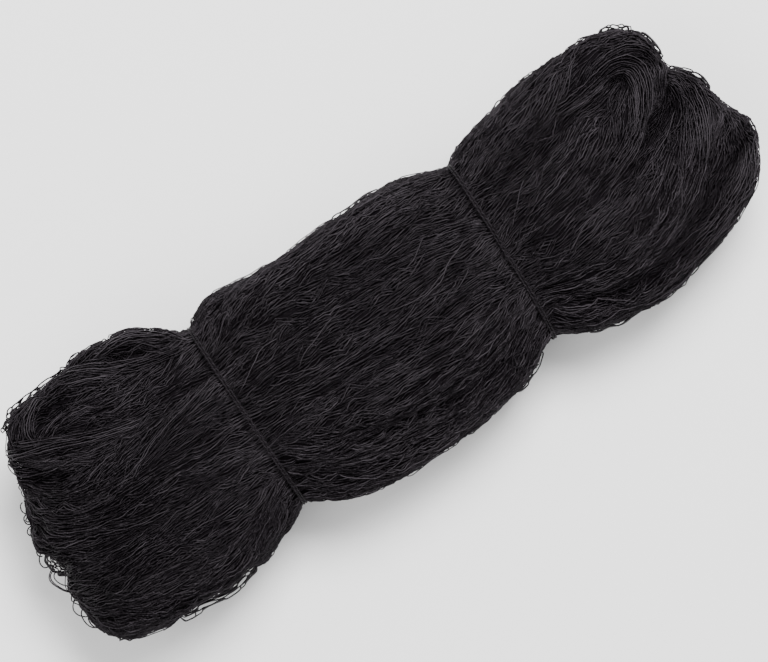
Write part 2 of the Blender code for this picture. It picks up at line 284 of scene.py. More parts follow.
STROKES = (
    # Left lobe: the small loop by the tie and the big bight below it.
    Stroke("small_loop_outer", ((-101, 60), (-112, 69), (-125, 79), (-140, 84), (-158, 86),
        (-180, 82))),
    Stroke("small_loop_inner", ((-104, 57), (-118, 67), (-128, 75), (-137, 80), (-148, 79)), 4),
    Stroke("small_loop_back", ((-102, 55), (-120, 60), (-138, 63), (-150, 69), (-163, 76),
        (-180, 80)), 5),
    Stroke("big_bight_top", ((-170, 79), (-190, 80), (-206, 78), (-217, 71), (-225, 62)), 6),
    Stroke("big_bight_inner", ((-145, 64), (-165, 65), (-182, 69), (-196, 72), (-204, 71)), 5),
    Stroke("big_bight_curl", ((-190, 77), (-202, 74), (-209, 67), (-212, 61)), 4.5),
    Stroke("big_bight_eye", ((-208, 54), (-205, 58), (-199, 61), (-188, 61), (-170, 61),
        (-150, 60)), 3.5),
    Stroke("big_bight_eye_low", ((-203, 52), (-199, 55), (-190, 57), (-174, 56), (-160, 54)), 3),
    Stroke("big_bight_back", ((-231, 62), (-220, 58), (-209, 53), (-198, 48), (-185, 42),
        (-165, 37), (-145, 32)), 5),
    Stroke("big_bight_level", ((-200, 55), (-180, 54), (-160, 49), (-142, 51), (-125, 54),
        (-102, 57)), 5),
    Stroke("left_rise_high", ((-158, 37), (-140, 42), (-126, 46), (-113, 51), (-103, 56)), 8),
    Stroke("left_shoulder", ((-232, 48), (-215, 42), (-198, 37), (-180, 34), (-160, 33),
        (-140, 34))),
    Stroke("left_second", ((-233, 34), (-225, 25), (-215, 17), (-204, 13), (-192, 15), (-178, 20),
        (-160, 25))),
    Stroke("left_riser", ((-178, 9), (-160, 15), (-145, 21), (-130, 25), (-115, 28), (-100, 31))),
    Stroke("left_third", ((-240, 20), (-232, 10), (-222, 3), (-208, -3), (-190, -5), (-165, -3))),
    Stroke("left_fourth", ((-244, 0), (-232, -4), (-218, -9), (-204, -14), (-190, -19),
        (-172, -22))),
    Stroke("left_middle_level", ((-165, 5), (-140, 5), (-120, 5), (-99, 4))),
    Stroke("left_fall", ((-174, 2), (-158, 0), (-146, -5), (-130, -9), (-112, -11), (-99, -13)),
        6),
    Stroke("left_middle_lower", ((-160, -15), (-140, -18), (-120, -20), (-99, -22)), 6),
    Stroke("left_fifth", ((-242, -26), (-224, -29), (-206, -31), (-195, -31), (-178, -29),
        (-155, -27))),
    Stroke("left_sixth", ((-242, -38), (-228, -42), (-210, -43), (-192, -43), (-174, -47),
        (-158, -50), (-135, -50))),
    Stroke("left_low_level", ((-158, -34), (-130, -31), (-112, -33), (-98, -35)), 6),
    Stroke("left_seventh", ((-242, -50), (-226, -54), (-205, -57), (-178, -59), (-150, -58),
        (-126, -54))),
    Stroke("left_bottom_rise", ((-150, -74), (-138, -70), (-126, -62), (-114, -56), (-98, -51)),
        5),
    Stroke("left_bottom_edge", ((-132, -77), (-121, -70), (-112, -62), (-104, -53))),
    Stroke("left_bottom", ((-236, -61), (-218, -66), (-200, -70), (-182, -70), (-160, -72)), 6),
    Stroke("left_bottom_hem", ((-226, -72), (-200, -76), (-172, -79), (-150, -77)), 5),
    # Middle lobe.
    Stroke("middle_fan_up", ((-98, 42), (-89, 47), (-80, 54), (-70, 60), (-56, 63)), 6),
    Stroke("middle_fan_top", ((-98, 56), (-89, 62), (-78, 68), (-64, 69), (-45, 67))),
    Stroke("middle_slant", ((-60, 50), (-48, 55), (-34, 58), (-16, 60), (0, 64), (16, 67)), 5),
    Stroke("middle_high", ((-30, 46), (0, 50), (30, 55), (52, 58)), 6),
    Stroke("middle_fall", ((-40, 42), (-16, 38), (0, 34), (16, 31), (42, 30), (80, 27))),
    Stroke("middle_upper", ((-97, 38), (-80, 36), (-60, 33), (-40, 30)), 7),
    Stroke("middle_level_right", ((34, 35), (60, 33), (80, 34)), 6),
    Stroke("middle_level", ((-97, 24), (-70, 27), (-50, 29), (-30, 27))),
    Stroke("middle_spine", ((-97, 2), (-75, 2), (-60, 0), (-30, 2), (0, 0), (40, 4), (80, 2))),
    Stroke("middle_low", ((-97, -16), (-70, -14), (-40, -18), (0, -22), (40, -20), (80, -16))),
    Stroke("middle_fan_low", ((-98, -32), (-86, -34), (-76, -38), (-62, -43), (-44, -49),
        (-26, -56)), 6),
    Stroke("middle_fan_bottom", ((-98, -47), (-88, -52), (-76, -59), (-62, -66), (-45, -72),
        (-20, -76)), 6),
    Stroke("middle_edge_left", ((-97, -60), (-84, -67), (-70, -74), (-52, -79)), 6),
    Stroke("middle_belly", ((-30, -58), (-12, -62), (4, -63), (22, -60), (40, -57)), 6),
    Stroke("middle_rise_low", ((0, -72), (20, -69), (38, -63), (54, -57), (67, -48), (80, -38)),
        6),
    Stroke("middle_rise_edge", ((14, -77), (36, -73), (54, -67), (68, -58), (80, -49)), 6),
    Stroke("middle_rise_mid", ((0, -50), (20, -48), (40, -45), (58, -42), (80, -35)), 6),
    # Right lobe.
    Stroke("right_top", ((84, 50), (100, 57), (118, 63), (140, 66), (162, 66), (182, 69)), 6),
    Stroke("right_top_edge", ((84, 57), (100, 64), (120, 69), (142, 74), (170, 76), (195, 77),
        (210, 73))),
    Stroke("right_rise_high", ((108, 40), (122, 44), (136, 49), (150, 56), (162, 62), (174, 68),
        (186, 76)), 7),
    Stroke("right_rise_low", ((168, 52), (178, 57), (190, 66)), 5),
    Stroke("bight_one_outer", ((190, 58), (204, 60), (215, 58), (222, 51), (223, 41), (217, 28)),
        5),
    Stroke("bight_one_mid", ((110, 43), (150, 43), (178, 47), (195, 52), (204, 50), (209, 43),
        (206, 33)), 5),
    Stroke("bight_one_back", ((206, 36), (200, 25), (191, 15), (180, 7), (166, 0), (148, -6),
        (125, -10)), 6),
    Stroke("bight_one_inner", ((150, 44), (178, 44), (194, 47), (200, 44), (198, 36), (190, 24)),
        3),
    Stroke("bight_one_fan", ((192, 37), (184, 29), (176, 20), (166, 12), (152, 6), (136, 0),
        (118, -3)), 5),
    Stroke("right_level", ((86, 24), (108, 26), (126, 29), (140, 33), (154, 39)), 6),
    Stroke("right_level_low", ((86, 4), (100, 8), (116, 13), (132, 17), (146, 22), (160, 29)), 6),
    Stroke("bight_two_rise", ((134, -46), (148, -41), (162, -36), (176, -28)), 5),
    Stroke("bight_two_outer", ((226, 38), (235, 25), (239, 12), (238, 0), (231, -10), (222, -20))),
    Stroke("bight_two_mid", ((224, 26), (222, 12), (214, 0), (206, -11), (197, -22), (186, -33),
        (172, -44)), 6),
    Stroke("bight_two_back", ((222, -20), (211, -31), (198, -40), (183, -48), (166, -54),
        (146, -56)), 6),
    Stroke("bight_two_low", ((172, -44), (152, -50), (130, -51), (108, -46), (86, -38)), 6),
    Stroke("bight_two_inner", ((206, 2), (192, -4), (178, -11), (160, -16), (138, -22), (112, -27),
        (86, -26)), 6),
    Stroke("bight_three_outer", ((243, -8), (249, -20), (247, -32), (240, -43), (228, -53),
        (212, -61))),
    Stroke("bight_three_low", ((212, -61), (190, -69), (162, -76), (136, -78), (114, -75),
        (98, -68), (84, -58))),
    Stroke("bight_three_mid", ((243, -20), (238, -34), (226, -46), (208, -55), (188, -61),
        (166, -66)), 6),
    Stroke("bight_three_back", ((166, -65), (146, -68), (128, -67), (114, -63), (100, -55),
        (86, -49)), 6),
)


@dataclass(frozen=True)
class Crease(Drawn):
    """A dark hollow between two locks of the net, drawn in plan on the upper side."""

    name: str
    path: tuple
    depth: float
    width: float


# A crease sinks the net and also paints its strands darker, as painted shade.
CREASES = (
    Crease("small_loop_pocket", ((-145, 75), (-138, 72), (-131, 67), (-126, 62)), 0.8, 4.0),
    Crease("big_bight_pocket", ((-203, 64), (-192, 67), (-181, 72)), 3.0, 4.6),
    Crease("big_bight_slit", ((-216, 61), (-207, 57), (-199, 53), (-190, 49), (-178, 45)), 1.8,
        2.0),
    Crease("left_shoulder", ((-227, 40), (-219, 34), (-208, 28), (-196, 27)), 2.4, 2.6),
    Crease("left_end", ((-242, 18), (-237, 11)), 3.4, 3.0),
    Crease("left_slack", ((-222, -6), (-205, -13), (-193, -18)), 2.5, 2.5),
    Crease("left_waist", ((-140, 2), (-120, 1)), 2.5, 3.0),
    Crease("middle_spine", ((-60, -12), (-34, -13), (-6, -15), (20, -16), (46, -15)), 2.8, 3.0),
    Crease("middle_shoulder", ((-72, 45), (-57, 43)), 1.2, 3.0),
    Crease("middle_belly", ((-30, -55), (-18, -56), (10, -60)), 2.5, 3.0),
    Crease("middle_pit", ((20, -27), (27, -28)), 3.5, 3.0),
    Crease("right_flat", ((98, 28), (118, 36), (140, 40), (160, 42)), 2.2, 3.0),
    Crease("right_waist", ((94, -16), (101, -8)), 2.5, 3.5),
    Crease("bight_one_eye", ((192, 47), (200, 45)), 3.6, 3.0),
    Crease("bight_one_side", ((222, 29), (218, 20), (211, 14), (198, 8)), 5.2, 4.6),
    Crease("bight_one_tail", ((198, 8), (189, 2), (181, -3), (165, -5)), 3.0, 2.6),
    Crease("bight_two_side", ((245, -22), (237, -28), (222, -34), (208, -42)), 4.0, 2.6),
    Crease("bight_two_tail", ((208, -42), (191, -52), (172, -60), (148, -63), (128, -61)), 3.6,
        3.2),
    Crease("bight_three_root", ((128, -61), (115, -57), (103, -49)), 3.2, 3.0),
)


@dataclass(frozen=True)
class PaintedLight(Drawn):
    """Painted light and shade: a lighter or darker stretch of the upper side, drawn in plan."""

    name: str
    path: tuple
    tone: float
    reach: float


PAINTED_LIGHTS = (
    # Painted light: lighter stretches.
    PaintedLight("left_tie_flank", ((-104, -57), (-103, -30), (-103, 20), (-101, 57)), 0.16, 5),
    PaintedLight("right_tie_flank", ((79, -36), (78, 0), (79, 46)), 0.18, 5),
    PaintedLight("bight_two_shine", ((224, -2), (219, -12), (222, -18)), 0.34, 7),
    PaintedLight("bight_two_tip", ((226, -8), (240, -9), (240, -19)), 0.44, 5),
    PaintedLight("bight_three_shine", ((236, -36), (224, -46)), 0.24, 6),
    PaintedLight("bight_one_cheek", ((219, 36), (225, 25)), 0.36, 5),
    PaintedLight("right_shoulder", ((130, 58), (148, 60)), 0.2, 7),
    PaintedLight("right_crown", ((146, 66), (160, 66), (184, 70)), 0.14, 6),
    PaintedLight("right_flank", ((138, -24), (146, -18), (149, -6)), 0.26, 6),
    PaintedLight("right_belly", ((106, -46), (114, -48)), 0.1, 5),
    PaintedLight("right_palm", ((160, 18), (166, 12)), 0.14, 5),
    PaintedLight("bight_one_light", ((156, 46), (160, 50)), 0.18, 5),
    PaintedLight("right_throat", ((90, 42), (98, 50), (114, 51)), 0.28, 6),
    PaintedLight("right_throat_low", ((104, 30), (112, 28)), 0.2, 5),
    PaintedLight("right_level", ((116, 10), (130, 12), (164, 12)), 0.12, 6),
    PaintedLight("big_bight_brow", ((-216, 62), (-207, 68), (-190, 73), (-179, 73)), 0.22, 6),
    PaintedLight("small_loop_brow", ((-166, 82), (-154, 82)), 0.12, 6),
    PaintedLight("left_upper", ((-176, 49), (-148, 53)), 0.12, 7),
    PaintedLight("left_second", ((-202, 31), (-182, 32), (-152, 32)), 0.18, 6),
    PaintedLight("left_waist_high", ((-134, 28), (-120, 28), (-106, 24)), 0.2, 5),
    PaintedLight("left_throat", ((-114, 44), (-104, 58)), 0.34, 5),
    PaintedLight("left_crown", ((-148, 75), (-142, 75)), 0.1, 4.5),
    PaintedLight("left_knuckle", ((-158, 42), (-152, 43)), 0.14, 4.5),
    PaintedLight("left_end_low", ((-238, -32), (-232, -38)), 0.16, 5),
    PaintedLight("left_shoulder_end", ((-232, 18), (-229, 8)), 0.18, 6),
    PaintedLight("left_waist_low", ((-117, -21), (-108, -27), (-100, -33)), 0.24, 5),
    PaintedLight("left_waist_middle", ((-118, 6), (-106, 0), (-92, -6)), 0.2, 5),
    PaintedLight("left_hollow_edge", ((-214, -4), (-200, -2)), 0.12, 6),
    PaintedLight("middle_brow", ((-50, 62), (0, 61), (52, 55)), 0.15, 6),
    PaintedLight("middle_fan_low", ((-98, -52), (-92, -56)), 0.12, 5),
    PaintedLight("middle_fan_end", ((-76, -51), (-70, -48)), 0.14, 5),
    PaintedLight("middle_belly_light", ((-52, -57), (-24, -60), (-8, -61), (10, -55)), 0.22, 5),
    PaintedLight("middle_heart", ((-34, -10), (-12, -7), (4, -6)), 0.16, 6),
    PaintedLight("middle_heart_high", ((-24, 18), (-12, 17)), 0.14, 5),
    PaintedLight("middle_heart_right", ((22, 13), (34, 13)), 0.2, 5),
    PaintedLight("middle_band", ((-72, -30), (-40, -33), (4, -32)), 0.16, 6),
    PaintedLight("middle_upper", ((-70, 36), (-55, 36)), 0.22, 6),
    PaintedLight("middle_light", ((-60, -5), (-48, -11)), 0.14, 8),
    PaintedLight("middle_waist_low", ((-72, -14), (-67, -16)), 0.22, 5),
    PaintedLight("middle_spine_light", ((46, -25), (56, -26)), 0.22, 5),
    PaintedLight("middle_waist_high", ((-95, 50), (-90, 40), (-88, 30)), 0.24, 5),
    PaintedLight("middle_right", ((62, 36), (62, 10), (67, -8), (64, -28)), 0.16, 6),
    PaintedLight("middle_right_low", ((72, -47), (88, -49)), 0.18, 5),
    PaintedLight("middle_keel", ((-70, -73), (-40, -77), (0, -78)), 0.14, 4.5),
    PaintedLight("right_tie_low", ((70, 54), (74, 38), (76, 4)), 0.18, 6),
    # Painted shade: darker stretches.
    PaintedLight("left_hollow", ((-204, -4), (-186, -4), (-160, 0), (-138, -1), (-122, -4)), -0.2, 6),
    PaintedLight("big_bight_eye", ((-200, 58), (-190, 61), (-178, 59)), -0.24, 5),
    PaintedLight("big_bight_curtain", ((-221, 53), (-212, 51)), -0.24, 5),
    PaintedLight("left_shoulder", ((-168, 38), (-156, 38)), -0.18, 5),
    PaintedLight("small_loop_eye", ((-146, 74), (-137, 70), (-128, 62), (-119, 57)), -0.3, 5),
    PaintedLight("left_riser", ((-150, 38), (-133, 36), (-104, 33)), -0.22, 5),
    PaintedLight("left_end", ((-242, -4), (-236, -12), (-237, -22)), -0.24, 5),
    PaintedLight("left_riser_low", ((-152, 15), (-142, 10), (-134, 10)), -0.36, 5),
    PaintedLight("left_low", ((-212, -16), (-198, -24), (-182, -20), (-172, -14)), -0.24, 6),
    PaintedLight("left_low_side", ((-213, -34), (-203, -29)), -0.22, 5),
    PaintedLight("left_waist_fall", ((-148, -16), (-138, -21), (-132, -23)), -0.24, 6),
    PaintedLight("left_belly_top", ((-178, -34), (-166, -38), (-152, -42)), -0.26, 6),
    PaintedLight("left_belly_side", ((-190, -38), (-188, -46)), -0.22, 5),
    PaintedLight("left_belly_low", ((-182, -58), (-162, -59), (-146, -58)), -0.2, 5),
    PaintedLight("left_fold", ((-200, 44), (-187, 42)), -0.28, 6),
    PaintedLight("left_top_edge", ((-218, 70), (-208, 72)), -0.2, 5),
    PaintedLight("left_ridge_dip", ((-166, 52), (-148, 48)), -0.2, 5),
    PaintedLight("left_riser_end", ((-196, 18), (-190, 20)), -0.14, 5),
    PaintedLight("left_keel_root", ((-162, -78), (-150, -77)), -0.24, 5),
    PaintedLight("left_keel_waist", ((-130, -63), (-122, -62)), -0.22, 5),
    PaintedLight("left_keel", ((-206, -70), (-186, -71)), -0.16, 5),
    PaintedLight("middle_shoulder", ((-54, 35), (-30, 28), (-12, 28)), -0.22, 6),
    PaintedLight("middle_shoulder_top", ((-26, 48), (-14, 47)), -0.2, 5),
    PaintedLight("middle_nape", ((4, 32), (14, 30)), -0.3, 5),
    PaintedLight("middle_low_dip", ((-40, -56), (-37, -62)), -0.3, 5),
    PaintedLight("middle_belly_dip", ((-6, -46), (6, -47)), -0.24, 5),
    PaintedLight("middle_top", ((-14, 58), (-2, 53), (8, 50)), -0.2, 6),
    PaintedLight("middle_dip", ((26, 28), (38, 28)), -0.2, 5),
    PaintedLight("middle_knot", ((36, 8), (44, 6)), -0.28, 5),
    PaintedLight("middle_low", ((-40, -18), (-32, -26)), -0.24, 5),
    PaintedLight("middle_waist_side", ((-90, -20), (-80, -20)), -0.22, 5),
    PaintedLight("middle_pit", ((-14, -18), (0, -19), (24, -26)), -0.2, 5),
    PaintedLight("middle_low_right", ((20, -39), (32, -45), (48, -46)), -0.2, 5),
    PaintedLight("middle_keel_right", ((38, -60), (46, -61)), -0.26, 5),
    PaintedLight("middle_keel_dip", ((12, -66), (28, -64)), -0.26, 5),
    PaintedLight("middle_spine", ((37, -17), (48, -17)), -0.3, 5),
    PaintedLight("right_tie_high", ((74, 22), (82, 24), (90, 30)), -0.26, 5),
    PaintedLight("middle_right_edge", ((63, 49), (67, 49)), -0.12, 4.5),
    PaintedLight("right_waist_dip", ((112, 24), (126, 20)), -0.24, 5),
    PaintedLight("right_waist_high", ((94, -2), (108, -3)), -0.14, 4.5),
    PaintedLight("right_tie_root", ((88, -24), (96, -27)), -0.26, 5),
    PaintedLight("bight_one_brow", ((172, 52), (190, 54), (208, 51), (220, 47)), -0.36, 5),
    PaintedLight("bight_one_fan", ((140, 44), (148, 45)), -0.22, 5),
    PaintedLight("bight_one_fan_low", ((128, 36), (146, 32)), -0.16, 5),
    PaintedLight("bight_one_root", ((118, 43), (124, 42)), -0.2, 5),
    PaintedLight("bight_one_hem", ((166, 22), (176, 28)), 0.12, 5),
    PaintedLight("bight_one_eye", ((184, 37), (200, 39)), -0.3, 5),
    PaintedLight("bight_one_tail", ((212, 10), (208, 0)), -0.26, 6),
    PaintedLight("right_middle", ((154, 2), (164, -2), (178, -6)), -0.26, 6.5),
    PaintedLight("right_middle_high", ((174, 14), (182, 4)), -0.16, 5),
    PaintedLight("right_waist_low", ((104, -34), (120, -37)), -0.2, 5),
    PaintedLight("bight_two_line", ((160, -34), (176, -27)), -0.22, 5),
    PaintedLight("bight_three_line", ((188, -45), (198, -40), (208, -32), (216, -26)), -0.26, 5),
    PaintedLight("bight_three_hem", ((202, -49), (214, -43)), -0.28, 5),
    PaintedLight("right_keel", ((128, -67), (144, -70), (165, -64), (188, -66)), -0.24, 5),
    PaintedLight("right_keel_rise", ((165, -60), (166, -52)), -0.18, 5),
)


@dataclass(frozen=True)
class Slack(Drawn):
    """Slack net that fills out the hank between its bundles, as a rounded roll."""

    name: str
    path: tuple
    radius: float


SLACKS = (
    Slack("left_cheek", ((-220, 57, 74), (-222, 46, 72), (-223, 34, 66)), 10.0),
    Slack("left_end", ((-236, -4, 58), (-236, -18, 60), (-235, -34, 58)), 9.5),
    Slack("left_heel", ((-227, -58, 46), (-225, -64, 46), (-206, -69, 46)), 9.0),
    Slack("left_brow", ((-196, 71, 74), (-178, 73, 80), (-160, 74, 84)), 8.0),
    Slack("small_loop", ((-152, 75, 88), (-134, 73, 86), (-122, 67, 82), (-110, 57, 74)), 7.0),
    Slack("middle_brow", ((-92, 55, 62), (-84, 61, 66)), 7.5),
    Slack("bight_gap", ((222, 34, 78), (227, 27, 76)), 4.0),
    Slack("right_nose", ((237, -6, 64), (240, -16, 64), (240, -26, 62)), 8.0),
    Slack("right_keel", ((165, -66, 56), (190, -61, 56), (207, -55, 56)), 9.0),
)


@dataclass(frozen=True)
class Push(Drawn):
    """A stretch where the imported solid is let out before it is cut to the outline."""

    name: str
    path: tuple
    height: float
    width: float


PUSHES = (
    Push("left_low", ((-238, -60, 44), (-222, -72, 44), (-200, -77, 44)), 1.0, 12),
    Push("left_throat", ((-140, -78, 56), (-128, -74, 56), (-116, -68, 56), (-104, -62, 56)), 2.2,
        9),
    Push("middle_brow_right", ((-8, 69, 70), (8, 71, 70), (32, 72, 70), (60, 66, 70)), 1.5, 12),
    Push("middle_throat_left", ((-96, -64, 60), (-78, -72, 60), (-60, -79, 60)), 1.2, 9),
    Push("right_throat", ((84, 58, 62), (96, 63, 62)), 1.8, 8),
    Push("right_throat_low", ((84, -62, 62), (94, -68, 62)), 1.5, 8),
    Push("right_crown", ((160, 77, 66), (190, 78, 66)), 1.2, 10),
    Push("right_low", ((140, -79, 54), (170, -77, 54), (200, -69, 54)), 2.6, 14),
    Push("right_tip", ((222, -58, 62), (232, -52, 62), (242, -40, 62)), 3.0, 8),
    Push("right_nose", ((248, -32, 60), (249, -20, 60), (244, -4, 62), (241, 12, 64)), 2.0, 9),
    Push("right_cheek", ((206, 74, 72), (218, 68, 74), (226, 56, 76), (227, 40, 78)), 2.0, 8),
    Push("left_keel_ends", ((-136, -79, 50), (-146, -81, 50), (-156, -82, 50)), 3.4, 8),
    Push("left_keel", ((-170, -80, 48), (-190, -80, 48), (-204, -78, 48)), 1.4, 8),
)


@dataclass(frozen=True)
class Sweep(Drawn):
    """A full lock of net laid along a listed path on the upper side, where a fold shows its edge.
    """

    name: str
    path: tuple
    width: float
    crown: float
    strands: int
    lift: float = 0.0


SWEEPS = (
    Sweep("small_loop", ((-101, 57), (-113, 66), (-126, 75), (-138, 79), (-150, 79), (-160, 77)),
        8, 1.2, 6),
    Sweep("small_loop_back", ((-104, 54), (-116, 58), (-126, 66), (-134, 77)), 5, 0.8, 4),
    Sweep("big_bight_leg", ((-101, 54), (-121, 57), (-139, 62), (-151, 68), (-163, 76), (-180, 79),
        (-198, 79)), 9, 1.4, 7),
    Sweep("big_bight_under", ((-140, 58), (-152, 63), (-164, 71), (-178, 75), (-192, 76)), 7, 1.0,
        5, -0.4),
    Sweep("big_bight_curl", ((-188, 77), (-200, 75), (-208, 70), (-213, 63), (-213, 56),
        (-206, 52)), 8, 0.8, 6, 0.2),
    Sweep("big_bight_eye", ((-209, 53), (-206, 57), (-200, 60), (-188, 61), (-170, 60),
        (-150, 59)), 4, 0.6, 4),
    Sweep("big_bight_eye_low", ((-204, 51), (-200, 55), (-192, 57), (-178, 56), (-160, 53)), 3,
        0.6, 3),
    Sweep("big_bight_curtain", ((-230, 58), (-220, 54), (-209, 50), (-198, 46), (-184, 40),
        (-166, 35), (-148, 31)), 9, 1.4, 7, 0.4),
    Sweep("big_bight_lip", ((-226, 63), (-218, 59), (-208, 54), (-199, 50), (-190, 46),
        (-176, 41)), 4, 1.2, 4, 1.2),
    Sweep("left_second", ((-231, 32), (-223, 24), (-212, 17), (-198, 14), (-180, 12), (-160, 16),
        (-140, 23), (-118, 27), (-99, 31)), 9, 1.0, 6),
    Sweep("left_third", ((-238, 16), (-231, 8), (-220, 1), (-204, -4), (-184, -6), (-160, -4)), 9,
        1.0, 6),
    Sweep("left_fourth", ((-242, -2), (-228, -6), (-212, -11), (-196, -17), (-178, -21),
        (-156, -20)), 8, 1.0, 5),
    Sweep("bight_one", ((150, 47), (166, 48), (184, 51), (200, 54), (209, 50), (212, 41),
        (206, 29), (197, 18), (184, 8), (168, 1), (148, -5)), 12, 1.6, 8, 0.6),
    Sweep("bight_one_lip", ((150, 45), (178, 46), (194, 49), (203, 48), (205, 41), (201, 30),
        (191, 18), (178, 9)), 5, 1.0, 4, 0.8),
    Sweep("bight_one_back", ((188, 58), (200, 60), (212, 59), (220, 53), (223, 45), (221, 35)), 8,
        1.2, 6),
    Sweep("right_rise", ((134, 44), (146, 50), (158, 57), (170, 65), (182, 73)), 10, 1.0, 7),
    Sweep("bight_two", ((232, 25), (232, 8), (225, -8), (214, -22), (201, -33), (186, -43),
        (169, -50), (150, -53)), 14, 1.6, 9, 0.5),
    Sweep("bight_two_lip", ((225, 24), (222, 8), (213, -4), (203, -16), (192, -28), (178, -39)), 6,
        1.0, 4, 0.5),
    Sweep("bight_three", ((245, -20), (242, -34), (230, -47), (212, -56), (192, -63), (168, -68),
        (144, -72), (122, -70)), 12, 1.6, 8, 0.5),
)


@dataclass(frozen=True)
class Stray(Drawn):
    """A loose strand that catches the light, drawn in plan on the upper side."""

    path: tuple
    tone: float = 1.0


STRAYS = (
    Stray(((-176, 9), (-161, 13), (-146, 20), (-130, 24), (-114, 26), (-100, 31)), 1.0),
    Stray(((-182, 8), (-168, 10), (-156, 17), (-143, 22)), 0.8),
    Stray(((-157, 47), (-147, 49), (-137, 52), (-124, 53)), 1.0),
    Stray(((-158, 52), (-150, 57), (-139, 57)), 0.8),
    Stray(((-207, 55), (-204, 58), (-197, 60), (-186, 60)), 1.0),
    Stray(((-203, 52), (-200, 55), (-192, 57)), 0.9),
    Stray(((-142, -3), (-131, -5), (-117, -4)), 0.9),
    Stray(((-139, -11), (-128, -10), (-116, -9)), 0.8),
    Stray(((-172, -41), (-156, -40), (-143, -42), (-130, -41)), 0.8),
    Stray(((-121, 45), (-114, 48), (-107, 52)), 0.9),
    Stray(((-132, 75), (-124, 68), (-118, 60)), 0.7),
    Stray(((-98, 12), (-87, 16), (-78, 23), (-68, 27), (-57, 29)), 0.9),
    Stray(((-97, 41), (-89, 45), (-80, 52), (-72, 58)), 0.8),
    Stray(((-58, 5), (-50, 12), (-40, 14), (-29, 19), (-19, 20)), 0.9),
    Stray(((-47, 20), (-42, 15), (-35, 13)), 0.7),
    Stray(((-79, 7), (-72, 5), (-65, 3)), 0.7),
    Stray(((-33, 4), (-24, 6), (-12, 3), (0, 2)), 0.6),
    Stray(((-56, 50), (-46, 55), (-34, 57), (-22, 58)), 0.8),
    Stray(((25, -2), (33, 2), (42, 2), (50, 9), (61, 12), (70, 16)), 1.0),
    Stray(((27, 20), (36, 21), (44, 27), (50, 32)), 0.9),
    Stray(((27, 15), (35, 17), (44, 22)), 0.7),
    Stray(((20, -30), (30, -30), (38, -27), (46, -23)), 0.8),
    Stray(((22, -37), (38, -35), (52, -32), (66, -29)), 1.0),
    Stray(((40, -44), (52, -43), (66, -39)), 0.8),
    Stray(((43, -9), (51, -4), (62, 0)), 0.8),
    Stray(((-44, 66), (-20, 60), (2, 62), (18, 66)), 0.7),
    Stray(((96, 6), (107, 17), (118, 27)), 1.0),
    Stray(((160, 55), (170, 60), (178, 67), (186, 72)), 0.9),
    Stray(((157, 46), (168, 46), (180, 46), (190, 47)), 1.0),
    Stray(((163, 52), (170, 58), (176, 64), (182, 70)), 1.0),
    Stray(((155, -8), (176, 2), (188, 9), (196, 19)), 0.8),
    Stray(((187, -6), (200, -2), (210, 5), (216, 13)), 0.9),
    Stray(((168, -53), (181, -45), (191, -32), (200, -16)), 0.9),
    Stray(((160, -42), (168, -40), (177, -32)), 0.8),
    Stray(((118, -26), (130, -25), (144, -21), (156, -17)), 0.7),
    Stray(((203, 26), (209, 33), (211, 42)), 0.8),
    Stray(((224, 20), (226, 6), (220, -8)), 0.7),
)


@dataclass(frozen=True)
class Edge(Drawn):
    """A stretch of the hank's outline, drawn in plan clockwise, with the slack net behind it."""

    name: str
    path: tuple
    slack: float = 0.0  # how far inside the outline the full net begins
    gaps: tuple = ()  # openings in the slack net, each with its start, end and width


